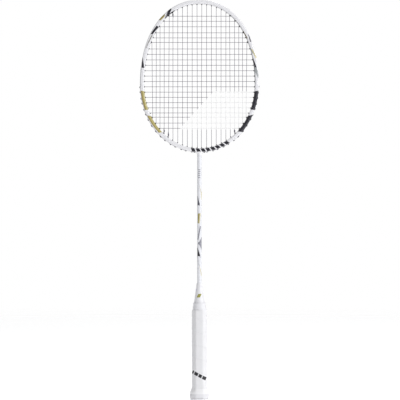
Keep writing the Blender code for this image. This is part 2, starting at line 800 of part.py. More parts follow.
def make_finishing_tape(vinyl):
    heights = (TAPE_BOTTOM, HANDLE_TOP, TAPE_TOP)
    outer = [handle_section(z) for z in heights]
    inner = [handle_section(z, TAPE_THICKNESS) for z in heights]
    add_object("finishing_tape", tube_mesh("finishing_tape", outer, inner), vinyl)


def make_cone(plastic):
    """A hollow-pointed cap on the handle's end, its rim tucked inside the finishing tape."""
    bottom = HANDLE_TOP + GAP
    height = CONE_TOP - bottom
    rim = (SHOULDER_RADIUS - TAPE_THICKNESS) * math.cos(math.pi / HANDLE_POINTS) - GAP
    swell = rim - CONE_TOP_RADIUS
    outside = [(CONE_TOP_RADIUS - CONE_EDGE, CONE_TOP), (CONE_TOP_RADIUS, CONE_TOP - CONE_EDGE)]
    for ring in range(1, CONE_RINGS):
        share = ring / CONE_RINGS
        outside.append((CONE_TOP_RADIUS + swell * share ** CONE_CURVE, CONE_TOP - height * share))
    outside += [(rim, TAPE_TOP), (rim, bottom)]
    bore = (SHAFT_RADIUS + GAP) / math.cos(math.pi / SHAFT_SIDES)
    profile = outside + [(bore, bottom), (bore, CONE_TOP)]
    form = bmesh.new()
    loft(form, [circle(radius, z, CONE_SIDES) for radius, z in profile], closed_loop=True)
    add_object("cone_cap", mesh_of("cone_cap", form), plastic)


def build():
    clear_scene()
    white_gloss = make_material("white_gloss", (0.86, 0.86, 0.88), 0.22)
    carbon = make_material("carbon_fibre", (0.05, 0.05, 0.055), 0.45)
    foam = make_material("grey_foam", (0.35, 0.35, 0.36), 0.9)
    nylon = make_material("black_nylon", (0.03, 0.03, 0.035), 0.5)
    gut = make_material("grey_string", (0.12, 0.13, 0.14), 0.35)
    white_plastic = make_material("white_plastic", (0.84, 0.84, 0.86), 0.3)
    wood = make_material("pale_wood", (0.62, 0.47, 0.30), 0.65)
    grip_white = make_material("white_grip", (0.82, 0.82, 0.83), 0.6)
    tape_white = make_material("white_tape", (0.84, 0.84, 0.85), 0.4)
    steel = make_material("tack_steel", (0.55, 0.55, 0.56), 0.35, 0.9)

    head = HeadCurve()
    holes = all_holes(head)
    make_frame(head, holes, white_gloss)
    make_t_joint(head, holes, carbon)
    make_shaft(white_gloss, foam)
    make_grommets(head, holes, nylon)
    string_object("main_string", main_route(head, holes), gut)
    string_object("cross_string", cross_route(head, holes), gut)
    make_knot("knot_main_left", head, holes, -1, MAIN_TIE, gut)
    make_knot("knot_main_right", head, holes, 1, MAIN_TIE, gut)
    make_knot("knot_cross_lower", head, holes, -1, CROSS_LOW_TIE, gut)
    make_knot("knot_cross_upper", head, holes, -1, CROSS_HIGH_TIE, gut)
    make_cone(white_plastic)
    make_handle_core(wood)
    make_tack(steel)
    make_badge(white_plastic)
    make_grip(grip_white)
    make_finishing_tape(tape_white)


build()
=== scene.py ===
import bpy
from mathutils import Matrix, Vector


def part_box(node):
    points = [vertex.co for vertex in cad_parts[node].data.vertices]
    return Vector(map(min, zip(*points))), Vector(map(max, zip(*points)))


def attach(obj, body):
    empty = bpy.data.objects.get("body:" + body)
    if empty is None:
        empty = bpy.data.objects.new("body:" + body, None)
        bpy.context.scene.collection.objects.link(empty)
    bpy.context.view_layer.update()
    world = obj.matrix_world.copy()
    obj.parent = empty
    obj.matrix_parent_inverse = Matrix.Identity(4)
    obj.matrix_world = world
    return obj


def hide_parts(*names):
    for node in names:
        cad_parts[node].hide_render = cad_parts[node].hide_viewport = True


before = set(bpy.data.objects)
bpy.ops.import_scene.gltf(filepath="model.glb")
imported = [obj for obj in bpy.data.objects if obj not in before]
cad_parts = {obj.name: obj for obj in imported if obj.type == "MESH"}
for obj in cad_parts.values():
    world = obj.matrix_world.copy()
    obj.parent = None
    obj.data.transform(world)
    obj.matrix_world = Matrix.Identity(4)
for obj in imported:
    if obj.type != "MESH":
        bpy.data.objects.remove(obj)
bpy.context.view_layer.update()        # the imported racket, in metres, all on the one body "root"

import math

import bmesh
import bpy
import numpy as np
from mathutils import Matrix, Vector

scene = bpy.context.scene
scene.view_settings.view_transform = "Standard"


# shared helpers

def finishPiece(name, bm, material, replaced, sharpAngle=35.0):
    # turns a bmesh into a smooth shaded piece that rides on the racket
    mesh = bpy.data.meshes.new(name)
    bm.to_mesh(mesh)
    bm.free()
    mesh.shade_smooth()
    mesh.set_sharp_from_angle(angle=math.radians(sharpAngle))
    piece = bpy.data.objects.new(name, mesh)
    scene.collection.objects.link(piece)
    mesh.materials.append(material)
    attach(piece, "root")
    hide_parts(*replaced)
    return piece


def wrapGrid(bm, along, around, place, uvAt=None, closeAlong=False):
    # wraps a flat grid round a path: place(i, j) is the point of row i and column j
    uvLayer = bm.loops.layers.uv.verify()
    made = bmesh.ops.create_grid(bm, x_segments=along, y_segments=around, size=0.5, calc_uvs=False)
    rows = {}
    for vert in made["verts"]:
        rows[vert] = (round((vert.co.x + 0.5) * along), round((vert.co.y + 0.5) * around))
    faces = {face for vert in made["verts"] for face in vert.link_faces}
    if uvAt:
        for face in faces:
            for loop in face.loops:
                loop[uvLayer].uv = uvAt(*rows[loop.vert])
    for vert, (i, j) in rows.items():
        vert.co = place(i, j % around)
    bmesh.ops.remove_doubles(bm, verts=made["verts"], dist=1e-7)
    if not closeAlong:
        rims = [edge for edge in bm.edges if edge.is_boundary]
        bmesh.ops.holes_fill(bm, edges=rims, sides=0)
    bmesh.ops.recalc_face_normals(bm, faces=bm.faces)


def spinProfile(bm, profile, steps, matrix=Matrix.Identity(4)):
    # spins a closed outline of (radius, height) pairs round Z and puts it in place
    verts = [bm.verts.new((radius, 0, height)) for radius, height in profile]
    edges = [bm.edges.new((a, b)) for a, b in zip(verts, verts[1:] + verts[:1])]
    before = set(bm.verts) - set(verts)
    bmesh.ops.spin(bm, geom=verts + edges, cent=(0, 0, 0), axis=(0, 0, 1), angle=2 * math.pi,
                   steps=steps, use_merge=True)
    made = [vert for vert in bm.verts if vert not in before]
    bmesh.ops.transform(bm, matrix=matrix, verts=made)
    bmesh.ops.recalc_face_normals(bm, faces=bm.faces)


# shared material helpers

def newMaterial(name, colour, roughness, **sockets):
    material = bpy.data.materials.new(name)
    material.use_nodes = True
    shader = material.node_tree.nodes["Principled BSDF"]
    shader.inputs["Base Color"].default_value = (*colour, 1)
    shader.inputs["Roughness"].default_value = roughness
    for socket, value in sockets.items():
        shader.inputs[socket.replace("_", " ")].default_value = value
    material.diffuse_color = (*colour, 1)
    return material, material.node_tree, shader


def plug(board, socket, value):
    # links a socket, or sets a plain number or colour
    if isinstance(value, bpy.types.NodeSocket):
        board.links.new(value, socket)
    elif isinstance(value, tuple) and len(value) == 3 and socket.type == "RGBA":
        socket.default_value = (*value, 1)
    else:
        socket.default_value = value


def sums(board, operation, *values, clamp=False):
    node = board.nodes.new("ShaderNodeMath")
    node.operation = operation
    node.use_clamp = clamp
    for socket, value in zip(node.inputs, values):
        plug(board, socket, value)
    return node.outputs[0]


def plus(board, first, second):
    return sums(board, "ADD", first, second)


def less(board, first, second):
    return sums(board, "SUBTRACT", first, second)


def times(board, first, second):
    return sums(board, "MULTIPLY", first, second)


def blendColour(board, share, first, second):
    node = board.nodes.new("ShaderNodeMix")
    node.data_type = "RGBA"
    plug(board, node.inputs[0], share)
    plug(board, node.inputs[6], first)
    plug(board, node.inputs[7], second)
    return node.outputs[2]


def noise(board, scale, detail=3.0, where=None):
    # value noise on the piece's own coordinates, scale in bumps per metre
    node = board.nodes.new("ShaderNodeTexNoise")
    node.inputs["Scale"].default_value = scale
    node.inputs["Detail"].default_value = detail
    plug(board, node.inputs["Vector"], where or objectPoint(board))
    return node.outputs["Fac"]


def objectPoint(board):
    return board.nodes.new("ShaderNodeTexCoord").outputs["Object"]


def axesOf(board, kind="Object"):
    node = board.nodes.new("ShaderNodeSeparateXYZ")
    plug(board, node.inputs[0], board.nodes.new("ShaderNodeTexCoord").outputs[kind])
    return node.outputs


def remap(board, value, fromLow, fromHigh, toLow, toHigh):
    node = board.nodes.new("ShaderNodeMapRange")
    for socket, number in zip(node.inputs, (value, fromLow, fromHigh, toLow, toHigh)):
        plug(board, socket, number)
    return node.outputs[0]


def bump(board, shader, height, depth, strength=1.0):
    # depth is the relief in metres for a height of one
    node = board.nodes.new("ShaderNodeBump")
    node.inputs["Distance"].default_value = depth
    node.inputs["Strength"].default_value = strength
    plug(board, node.inputs["Height"], height)
    plug(board, shader.inputs["Normal"], node.outputs[0])


def dress(board, shader, colour, rough, relief):
    # rough is a value with its remap range, relief a height with its depth and strength
    plug(board, shader.inputs["Base Color"], colour)
    plug(board, shader.inputs["Roughness"], remap(board, *rough))
    bump(board, shader, *relief)


def turnAngle(board, axes):
    # degrees round the shaft, 0 in front and 90 to the right
    return sums(board, "DEGREES", sums(board, "ARCTAN2", axes[0], times(board, axes[1], -1.0)))


def fromAxis(board, axes):
    # distance from the racket's long axis
    squares = [sums(board, "POWER", axes[k], 2.0) for k in (0, 1)]
    return sums(board, "SQRT", plus(board, *squares))


pearlShade = (0.72, 0.71, 0.78)


def startGloss(name, white, coat):
    # white paint with a faint pearl in it
    material, board, shader = newMaterial(name, white, 0.24, Coat_Weight=coat, Coat_Roughness=0.07)
    pearl = remap(board, noise(board, 2600.0, 2.0), 0.4, 0.75, 0.0, 0.10)
    return material, board, shader, blendColour(board, pearl, white, pearlShade)


def finishGloss(board, shader, colour):
    dress(board, shader, colour, (noise(board, 160.0), 0.3, 0.7, 0.20, 0.30),
          (noise(board, 900.0, 2.0), 0.00003, 0.6))


def makeWedgeGroup():
    # a painted patch with straight edges: 1 inside, 0 outside
    group = bpy.data.node_groups.new("paintedPatch", "ShaderNodeTree")
    names = ["along", "across", "start", "end", "lowStart", "lowEnd", "highStart", "highEnd",
             "lean", "alongEdge", "acrossEdge"]
    for name in names:
        group.interface.new_socket(name, in_out="INPUT", socket_type="NodeSocketFloat")
    group.interface.new_socket("inside", in_out="OUTPUT", socket_type="NodeSocketFloat")
    given = group.nodes.new("NodeGroupInput").outputs
    shifted = less(group, given["along"], times(group, given["across"], given["lean"]))
    fromStart = less(group, shifted, given["start"])
    toEnd = less(group, given["end"], shifted)
    share = sums(group, "DIVIDE", fromStart, less(group, given["end"], given["start"]))
    low = remap(group, share, 0.0, 1.0, given["lowStart"], given["lowEnd"])
    high = remap(group, share, 0.0, 1.0, given["highStart"], given["highEnd"])
    alongIn = sums(group, "DIVIDE", sums(group, "MINIMUM", fromStart, toEnd), given["alongEdge"], clamp=True)
    gap = sums(group, "MINIMUM", less(group, given["across"], low), less(group, high, given["across"]))
    acrossIn = sums(group, "DIVIDE", gap, given["acrossEdge"], clamp=True)
    result = group.nodes.new("NodeGroupOutput")
    group.links.new(times(group, alongIn, acrossIn), result.inputs["inside"])
    return group


wedgeGroup = makeWedgeGroup()


def patch(board, along, across, start, end, low, high, lean=0.0, edges=(0.00012, 0.02)):
    # low and high are (at the start, at the end)
    node = board.nodes.new("ShaderNodeGroup")
    node.node_tree = wedgeGroup
    values = (along, across, start, end, *low, *high, lean, *edges)
    for socket, value in zip(node.inputs, values):
        plug(board, socket, value)
    return node.outputs[0]


# camera, lights and floor

view = {"distance": 3.0, "sensor": 36.0, "covers": 0.676, "aimX": 0.001, "aimZ": 0.3371}


def makeCamera():
    data = bpy.data.cameras.new("viewCamera")
    data.sensor_width = view["sensor"]
    data.lens = view["sensor"] * view["distance"] / view["covers"]
    camera = bpy.data.objects.new("viewCamera", data)
    camera.location = (view["aimX"], -view["distance"], view["aimZ"])
    camera.rotation_euler = (math.radians(90), 0, 0)
    scene.collection.objects.link(camera)
    scene.camera = camera


lamps = {
    "keyRight": {"at": (2.2, -1.4, 1.1), "size": 1.1, "power": 36.0},
    "fillLeft": {"at": (-1.2, -2.4, 0.8), "size": 1.6, "power": 1.5},
    "topSoft": {"at": (0.3, 0.5, 2.4), "size": 1.6, "power": 13.0},
}


def makeLights():
    for name, lamp in lamps.items():
        data = bpy.data.lights.new(name, "AREA")
        data.shape = "DISK"
        data.size = lamp["size"]
        data.energy = lamp["power"]
        light = bpy.data.objects.new(name, data)
        light.location = lamp["at"]
        aim = Vector((0, 0, 0.35)) - light.location
        light.rotation_euler = aim.to_track_quat("-Z", "Y").to_euler()
        scene.collection.objects.link(light)


backdrop = {"seen": 1.0, "light": 0.46, "floorGlow": 0.25, "floorSeen": 0.42, "floorFadeFrom": 0.9,
            "floorFadeTo": 2.6}


def makeWorld():
    # a white studio: the camera sees plain white, the racket is lit a little less
    world = bpy.data.worlds.new("studio")
    world.use_nodes = True
    board = world.node_tree
    shader = board.nodes["Background"]
    shader.inputs["Color"].default_value = (1.0, 1.0, 1.0, 1)
    rays = board.nodes.new("ShaderNodeLightPath")
    strength = remap(board, rays.outputs["Is Camera Ray"], 0.0, 1.0, backdrop["light"], backdrop["seen"])
    plug(board, shader.inputs["Strength"], strength)
    scene.world = world


def makeFloor():
    bm = bmesh.new()
    bmesh.ops.create_circle(bm, cap_ends=True, segments=96, radius=3.5)
    mesh = bpy.data.meshes.new("studioFloor")
    bm.to_mesh(mesh)
    bm.free()
    floor = bpy.data.objects.new("studioFloor", mesh)
    scene.collection.objects.link(floor)
    material, board, shader = newMaterial("paleFloor", (0.93, 0.93, 0.94), 0.85)
    shader.inputs["Emission Color"].default_value = (1, 1, 1, 1)
    rays = board.nodes.new("ShaderNodeLightPath")
    plug(board, shader.inputs["Emission Strength"],
         remap(board, rays.outputs["Is Camera Ray"], 0.0, 1.0, backdrop["floorGlow"], backdrop["floorSeen"]))
    plug(board, shader.inputs["Alpha"],
         remap(board, fromAxis(board, axesOf(board)), backdrop["floorFadeFrom"], backdrop["floorFadeTo"],
               1.0, 0.0))
    mesh.materials.append(material)


# the head's outline, the way the frame was moulded: two half superellipses

hoopLow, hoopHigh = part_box("frame_hoop")
head = {"wide": hoopHigh.x - hoopLow.x, "top": hoopHigh.z, "widest": 0.533, "throat": 0.418,
        "upperPower": 2.15, "lowerPower": 2.05}
rim = {"across": 0.0068, "deep": hoopHigh.y - hoopLow.y, "innerRound": 0.0022, "outerRound": 0.0019,
       "rounding": 6, "stations": 440}
groove = {"deep": 0.0019, "shallow": 0.0008, "floor": 0.0021, "mouth": 0.0025, "fadeFrom": 0.543,
          "fadeOver": 0.018}


def traceOutline(samples=6000):
    turn = np.linspace(-math.pi / 2, 1.5 * math.pi, samples + 1)
    upper = np.sin(turn) >= 0
    power = np.where(upper, head["upperPower"], head["lowerPower"])
    tall = np.where(upper, head["top"] - head["widest"], head["widest"] - head["throat"])
    x = head["wide"] / 2 * np.sign(np.cos(turn)) * np.abs(np.cos(turn)) ** (2 / power)
    z = head["widest"] + tall * np.sign(np.sin(turn)) * np.abs(np.sin(turn)) ** (2 / power)
    along = np.concatenate([[0.0], np.cumsum(np.hypot(np.diff(x), np.diff(z)))])
    return along, x, z


outlineS, outlineX, outlineZ = traceOutline()
outlineLength = outlineS[-1]


def outlinePoint(s):
    s = s % outlineLength
    return Vector((np.interp(s, outlineS, outlineX), 0.0, np.interp(s, outlineS, outlineZ)))


def outlineAlong(s, reach=0.0015):
    return (outlinePoint(s + reach) - outlinePoint(s - reach)).normalized()


def onRim(s, out, back=0.0):
    # a point moved out from the outline at s, and towards the back of the racket
    along = outlineAlong(s)
    return outlinePoint(s) + Vector((along.z, 0, -along.x)) * out + Vector((0, back, 0))


def lowerShare(height):
    # 0 up where the groove is deep, 1 in the lower half where it is shallow
    share = min(1.0, max(0.0, (groove["fadeFrom"] - height) / groove["fadeOver"]))
    return share * share * (3 - 2 * share)


def grooveAt(height):
    return groove["deep"] + (groove["shallow"] - groove["deep"]) * lowerShare(height)


# painted hoop

# steel is the grey of some marks and also a painted shade along the right inner edge
hoopPaint = {
    "white": (0.88, 0.88, 0.91), "gold": (0.47, 0.40, 0.13), "deepGold": (0.30, 0.23, 0.06),
    "paleGold": (0.62, 0.56, 0.30), "black": (0.005, 0.004, 0.012), "streak": (0.36, 0.35, 0.33),
    "smoke": (0.10, 0.10, 0.12), "outerEdgeShade": (0.43, 0.45, 0.48), "steel": (0.36, 0.38, 0.39),
}
# colour, start, end, (inner edge at start, at end), (outer edge at start, at end), lean
# stations run in metres from the throat, left of it negative; 0 is the inner edge and 1 the outer
hoopPatches = [
    ("gold", -0.1570, -0.1232, (-0.1, -0.1), (0.88, 0.84), -0.0018),
    ("paleGold", -0.1570, -0.1232, (0.24, 0.24), (0.38, 0.36), -0.0018),
    ("deepGold", -0.1570, -0.1232, (0.62, 0.58), (0.88, 0.84), -0.0018),
    ("gold", -0.1112, -0.0755, (-0.1, -0.1), (0.84, 0.70), -0.0047),
    ("paleGold", -0.1112, -0.0755, (0.26, 0.22), (0.38, 0.32), -0.0047),
    ("deepGold", -0.1112, -0.0755, (0.66, 0.54), (0.84, 0.70), -0.0047),
    ("black", 0.1235, 0.1570, (-0.1, -0.1), (1.1, 1.1), 0.0018),
    ("smoke", 0.1235, 0.1570, (0.62, 0.62), (0.74, 0.74), 0.0018),
    ("black", 0.0775, 0.1120, (-0.1, -0.1), (1.1, 1.1), 0.0047),
    ("smoke", 0.0775, 0.1120, (0.62, 0.62), (0.74, 0.74), 0.0047),
    # upper left
    ("black", -0.3135, -0.2987, (0.72, -0.50), (1.40, 0.18), 0.0),
    ("black", -0.3165, -0.2938, (-0.1, -0.1), (0.16, 0.20), 0.0),
    ("smoke", -0.3081, -0.2967, (0.92, 0.10), (1.06, 0.30), 0.0),
    ("deepGold", -0.2985, -0.2850, (0.60, 0.66), (0.90, 1.0), 0.0),
    ("gold", -0.2967, -0.2859, (0.42, 0.52), (0.64, 0.70), 0.0),
    ("black", -0.2750, -0.2575, (-0.1, 0.34), (0.58, 0.84), 0.0),
    ("streak", -0.2567, -0.2314, (0.14, 0.58), (0.52, 0.74), 0.0),
    ("black", -0.2150, -0.1976, (0.82, 0.12), (0.92, 0.84), 0.0),
    # painted shade on the left side's outer edge, which faces away from the light
    ("outerEdgeShade", -0.1976, -0.1647, (0.82, 0.84), (1.1, 1.1), 0.0),
    # upper right
    # painted shade along the right inner edge, in steel grey
    ("steel", 0.2165, 0.3050, (-0.1, -0.1), (0.06, 0.09), 0.0),
    ("deepGold", 0.2507, 0.2661, (-0.1, -0.1), (0.30, 0.14), 0.0),
    ("smoke", 0.2507, 0.2661, (-0.1, -0.1), (0.15, 0.08), 0.0),
    ("black", 0.2433, 0.2567, (0.52, 0.74), (0.86, 0.87), 0.0),
    ("steel", 0.2225, 0.2345, (0.22, -0.05), (0.48, 0.10), 0.0),
    ("paleGold", 0.2135, 0.2309, (0.72, 0.20), (1.10, 0.46), 0.0),
    ("black", 0.1985, 0.2165, (0.10, -0.1), (0.64, 0.12), 0.0),
    ("steel", 0.1890, 0.1987, (-0.1, -0.1), (0.90, 0.64), 0.0),
    ("steel", 0.1805, 0.1892, (0.74, 0.30), (1.0, 0.92), 0.0),
    # painted shade along the right inner edge, in steel grey
    ("steel", 0.1580, 0.1892, (-0.1, -0.1), (0.08, 0.22), 0.0),
]
# plain slanted blocks at the foot of the hoop
footBlocks = {"from": -0.0160, "to": 0.0535, "count": 8, "filled": 0.76, "low": 0.08, "high": 0.96,
              "lean": 0.0035}


def paintForHoop():
    material, board, shader, colour = startGloss("hoopPaint", hoopPaint["white"], 0.55)
    station, across, _ = axesOf(board, "UV")
    for shade, start, end, low, high, lean in hoopPatches:
        inside = patch(board, station, across, start, end, low, high, lean)
        colour = blendColour(board, inside, colour, hoopPaint[shade])
    pitch = (footBlocks["to"] - footBlocks["from"]) / footBlocks["count"]
    for number in range(footBlocks["count"]):
        start = footBlocks["from"] + pitch * number
        inside = patch(board, station, across, start, start + pitch * footBlocks["filled"],
                       (footBlocks["low"],) * 2, (footBlocks["high"],) * 2, footBlocks["lean"])
        colour = blendColour(board, inside, colour, hoopPaint["black"])
    finishGloss(board, shader, colour)
    return material


def rimSection():
    # the front half of the section, inner middle to outer middle, as (out, back, in the groove)
    across, deep = rim["across"], rim["deep"] / 2
    points = [(-across, 0.0, 0), (-across, deep * 0.3, 0)]
    for radius, outX, first in ((rim["innerRound"], -across + rim["innerRound"], 180),
                                (rim["outerRound"], -rim["outerRound"], 90)):
        for k in range(rim["rounding"] + 1):
            angle = math.radians(first - 90 * k / rim["rounding"])
            points.append((outX + radius * math.cos(angle), deep - radius + radius * math.sin(angle), 0))
    floor, mouth = groove["floor"], groove["mouth"]
    points += [(0.0, mouth + 0.0004, 0), (0.0, mouth, 0.06), (0.0, (mouth + floor) / 2, 0.5),
               (0.0, floor, 0.92), (0.0, floor - 0.0003, 1), (0.0, floor / 2, 1), (0.0, 0.0, 1)]
    return points


def makeHoop():
    half = rimSection()
    section = half + [(out, -back, deep) for out, back, deep in reversed(half[1:-1])]
    stations = rim["stations"]

    def stationAt(i):
        return outlineLength * (i / stations - 0.5)

    def place(i, j):
        s = stationAt(i % stations)
        out, back, share = section[j]
        return onRim(s, out - share * grooveAt(outlinePoint(s).z), -back)

    def uvAt(i, j):
        return stationAt(i), 1 + section[j % len(section)][0] / rim["across"]

    bm = bmesh.new()
    wrapGrid(bm, stations, len(section), place, uvAt, closeAlong=True)
    material = paintForHoop()
    hoop = finishPiece("paintedHoop", bm, material, ["frame_hoop"])
    joinNeck(hoop, material)


neck = {"top": 0.0022, "shaft": 0.0038, "flare": 0.0040, "swell": 0.0011, "curve": 2.4, "rings": 18,
        "capRings": 4, "sides": 48}


def joinNeck(hoop, material):
    # the fillet that runs from the hoop into the shaft
    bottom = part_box("frame_hoop")[0].z
    cap = neck["capRings"]

    def place(i, j):
        drop = max(0.0, (i - cap) / (neck["rings"] - cap))
        share = (1 - drop) ** neck["curve"]
        height = head["throat"] + neck["top"] * max(0, cap - i) / cap
        height -= (head["throat"] - bottom) * drop
        angle = 2 * math.pi * j / neck["sides"]
        return Vector(((neck["shaft"] + neck["flare"] * share) * math.cos(angle),
                       (neck["shaft"] + neck["swell"] * share) * math.sin(angle), height))

    def uvAt(i, j):
        return 0.0, 0.05

    bm = bmesh.new()
    wrapGrid(bm, neck["rings"], neck["sides"], place, uvAt)
    mesh = bpy.data.meshes.new("neckForm")
    bm.to_mesh(mesh)
    bm.free()
    mesh.shade_smooth()
    mesh.materials.append(material)
    form = bpy.data.objects.new("neckForm", mesh)
    scene.collection.objects.link(form)
    union = hoop.modifiers.new("neckUnion", "BOOLEAN")
    union.operation = "UNION"
    union.object = form
    bpy.context.view_layer.update()
    joined = bpy.data.meshes.new_from_object(hoop.evaluated_get(bpy.context.evaluated_depsgraph_get()))
    hoop.modifiers.clear()
    hoop.data = joined
    bpy.data.objects.remove(form)


# holes and strings, counted from the throat round both sides

bed = {"mains": 22, "mainPitch": 0.0083, "evenMains": 6, "pitchStep": 0.0003, "crosses": 22,
       "crossPitch": 0.00963, "crossStep": 0.000045, "topDrop": 0.025, "sharedPitch": 0.0042,
       "throatLean": 0.0036}
cord = {"radius": 0.00035, "layer": 0.00052, "weave": 0.00036, "sides": 8, "gap": 0.0003,
        "quarterPoints": 4, "bend": 0.0008, "outside": 0.00072, "shoulder": 0.0011, "dip": 0.0026,
        "lane": 0.003, "clear": 0.001}
tieBack = 3 * cord["layer"]      # how far a tied end lies from the middle, outside the rim
ties = {"main": ("main", 7, "low"), "crossLow": ("main", 6, "low"), "crossHigh": ("main", 5, "high")}
barrel = {"wall": 0.00045, "proud": 0.0013, "lift": 0.00003, "strip": 0.00030, "sides": 14}


def whereInner(axis, value, upper):
    # the station on the right side where the rim's inner edge has that x or z
    best = None
    for s in np.linspace(0.0, outlineLength / 2, 1500):
        at = onRim(s, -rim["across"])
        if axis == "x" and (at.z > head["widest"]) != upper:
            continue
        miss = abs((at.x if axis == "x" else at.z) - value)
        if best is None or miss < best[0]:
            best = (miss, s)
    return best[1]


def mainOffsets():
    offsets = [bed["mainPitch"] / 2]
    for k in range(1, bed["mains"] // 2):
        shrink = bed["pitchStep"] * (k - bed["evenMains"] + 2) if k >= bed["evenMains"] else 0.0
        offsets.append(offsets[-1] + bed["mainPitch"] - shrink)
    return offsets


def drillHoles():
    ends = []
    for k, x in enumerate(mainOffsets()):
        for upper, word in ((False, "low"), (True, "high")):
            ends.append((whereInner("x", x, upper), ("main", k, word)))
    for k in range(bed["crosses"]):
        height = head["top"] - bed["topDrop"] - bed["crossPitch"] * k + bed["crossStep"] * k * (k - 1) / 2
        ends.append((whereInner("z", height, None), ("cross", k, "side")))
    oneSide = []
    for s, end in sorted(ends):
        last = oneSide[-1] if oneSide else None
        if last and s - last["s"] < bed["sharedPitch"] and last["ends"][0][0] != end[0]:
            last["s"] = (last["s"] + s) / 2
            last["ends"].append(end)
        else:
            oneSide.append({"s": s, "ends": [end], "lean": 0.0})
    holes = []
    for side in (1, -1):
        tied = [ties["main"]] if side > 0 else list(ties.values())
        for hole in oneSide:
            lean = bed["throatLean"] if hole["ends"] == [("main", 0, "low")] else 0.0
            shared = len(hole["ends"]) > 1 or any(end in tied for end in hole["ends"])
            holes.append({"side": side, "s": hole["s"] if side > 0 else outlineLength - hole["s"],
                          "ends": hole["ends"], "lean": lean * side, "shared": shared})
    return holes


def boreOf(hole):
    return cord["radius"] + cord["gap"] + (cord["layer"] if hole["shared"] else 0)


def backOf(hole):
    if hole["shared"]:
        return 0.0
    return -cord["layer"] if hole["ends"][0][0] == "main" else cord["layer"]


def holeAxis(hole):
    inner = onRim(hole["s"], -rim["across"])
    outer = onRim(hole["s"], 0) + outlineAlong(hole["s"]) * hole["lean"]
    return inner, outer, (outer - inner).normalized()


def findHole(side, end):
    return next(hole for hole in holes if hole["side"] == side and end in hole["ends"])


def innerTurn(hole, back):
    inner, _, axis = holeAxis(hole)
    return inner - axis * (barrel["proud"] + cord["radius"]) + Vector((0, back, 0))


def riseAt(height):
    # how far a grommet's outer lip stands up from its strip
    return strip["rise"] + strip["lowerRise"] * lowerShare(height)


def outerLift(height, overBarrel=False):
    return cord["outside"] - grooveAt(height) + (riseAt(height) if overBarrel else 0.0)


def outerTurn(hole, back):
    _, outer, axis = holeAxis(hole)
    return outer + axis * outerLift(outer.z, True) + Vector((0, back, 0))


def outerRun(start, end, back, lane=0.0, step=0.004):
    # along the outside of the rim between two holes; a tied end moves over to its own lane
    first, last = start["s"] + start["lean"], end["s"] + end["lean"]
    if last - first > outlineLength / 2:
        last -= outlineLength
    if first - last > outlineLength / 2:
        last += outlineLength
    # over each grommet's lip, then down to the rim beside it
    shoulder = math.copysign(lane or cord["shoulder"], last - first)
    dip = math.copysign(lane or min(cord["dip"], abs(last - first) / 3), last - first)
    low, high = first + dip, last - dip
    count = max(1, round(abs(high - low) / step))
    places = [low + (high - low) * k / count for k in range(count + 1)]
    points = [onRim(s, outerLift(outlinePoint(s).z), back) for s in places]
    if lane:
        return points
    over = [onRim(s, outerLift(outlinePoint(s).z, True), back) for s in (first + shoulder, last - shoulder)]
    return [over[0]] + points + [over[1]]


def wovenRun(near, far, crossings, frontFirst):
    # between two barrels, over one string and under the next
    line = far - near
    spots = sorted(crossings)
    weave = []
    for k, share in enumerate(spots):
        side = -1 if (k % 2 == 0) == frontFirst else 1
        weave.append((share, side * cord["weave"]))
        if k + 1 < len(spots):
            for n in range(1, cord["quarterPoints"]):
                t = n / cord["quarterPoints"]
                y = cord["weave"] * side * math.cos(math.pi * t)
                weave.append((share + (spots[k + 1] - share) * t, y))
    run = [near]
    for share, y in weave:
        point = near + line * share
        run.append(Vector((point.x, y, point.z)))
    return run + [far]


def crossLines():
    return [innerTurn(findHole(1, ("cross", k, "side")), 0).z for k in range(bed["crosses"])]


def mainLines():
    # every main from left to right as its two inner ends
    last = bed["mains"] // 2 - 1
    order = [(-1, k) for k in range(last, -1, -1)] + [(1, k) for k in range(last + 1)]
    return [(side, k, innerTurn(findHole(side, ("main", k, "low")), -cord["layer"]),
             innerTurn(findHole(side, ("main", k, "high")), -cord["layer"])) for side, k in order]


def mainRoute():
    back = -cord["layer"]
    last = bed["mains"] // 2 - 1
    tieLeft, tieRight = findHole(-1, ties["main"]), findHole(1, ties["main"])
    points = [innerTurn(tieLeft, cord["layer"]), outerTurn(tieLeft, cord["layer"])]
    lowLeft, lowRight = findHole(-1, ("main", last, "low")), findHole(1, ("main", last, "low"))
    points += reversed(outerRun(lowLeft, tieLeft, -tieBack, lane=cord["lane"]))
    points.append(outerTurn(lowLeft, back))
    heights = crossLines()
    lines = mainLines()
    for n, (side, k, low, high) in enumerate(lines):
        inside = [j for j, z in enumerate(heights) if low.z + cord["clear"] < z < high.z - cord["clear"]]
        shares = [(heights[j] - low.z) / (high.z - low.z) for j in inside]
        # the lowest cross inside the main decides which way the weave starts
        frontFirst = (n + max(inside)) % 2 == 0
        run = wovenRun(low, high, shares, frontFirst)
        goingUp = n % 2 == 0
        ends = ("low", "high") if goingUp else ("high", "low")
        points += run if goingUp else list(reversed(run))
        here = findHole(side, ("main", k, ends[1]))
        points.append(outerTurn(here, back))
        if n + 1 < len(lines):
            after = findHole(lines[n + 1][0], ("main", lines[n + 1][1], ends[1]))
            points += outerRun(here, after, back)
            points.append(outerTurn(after, back))
    points += outerRun(lowRight, tieRight, -tieBack, lane=cord["lane"])
    points += [outerTurn(tieRight, cord["layer"]), innerTurn(tieRight, cord["layer"])]
    return points


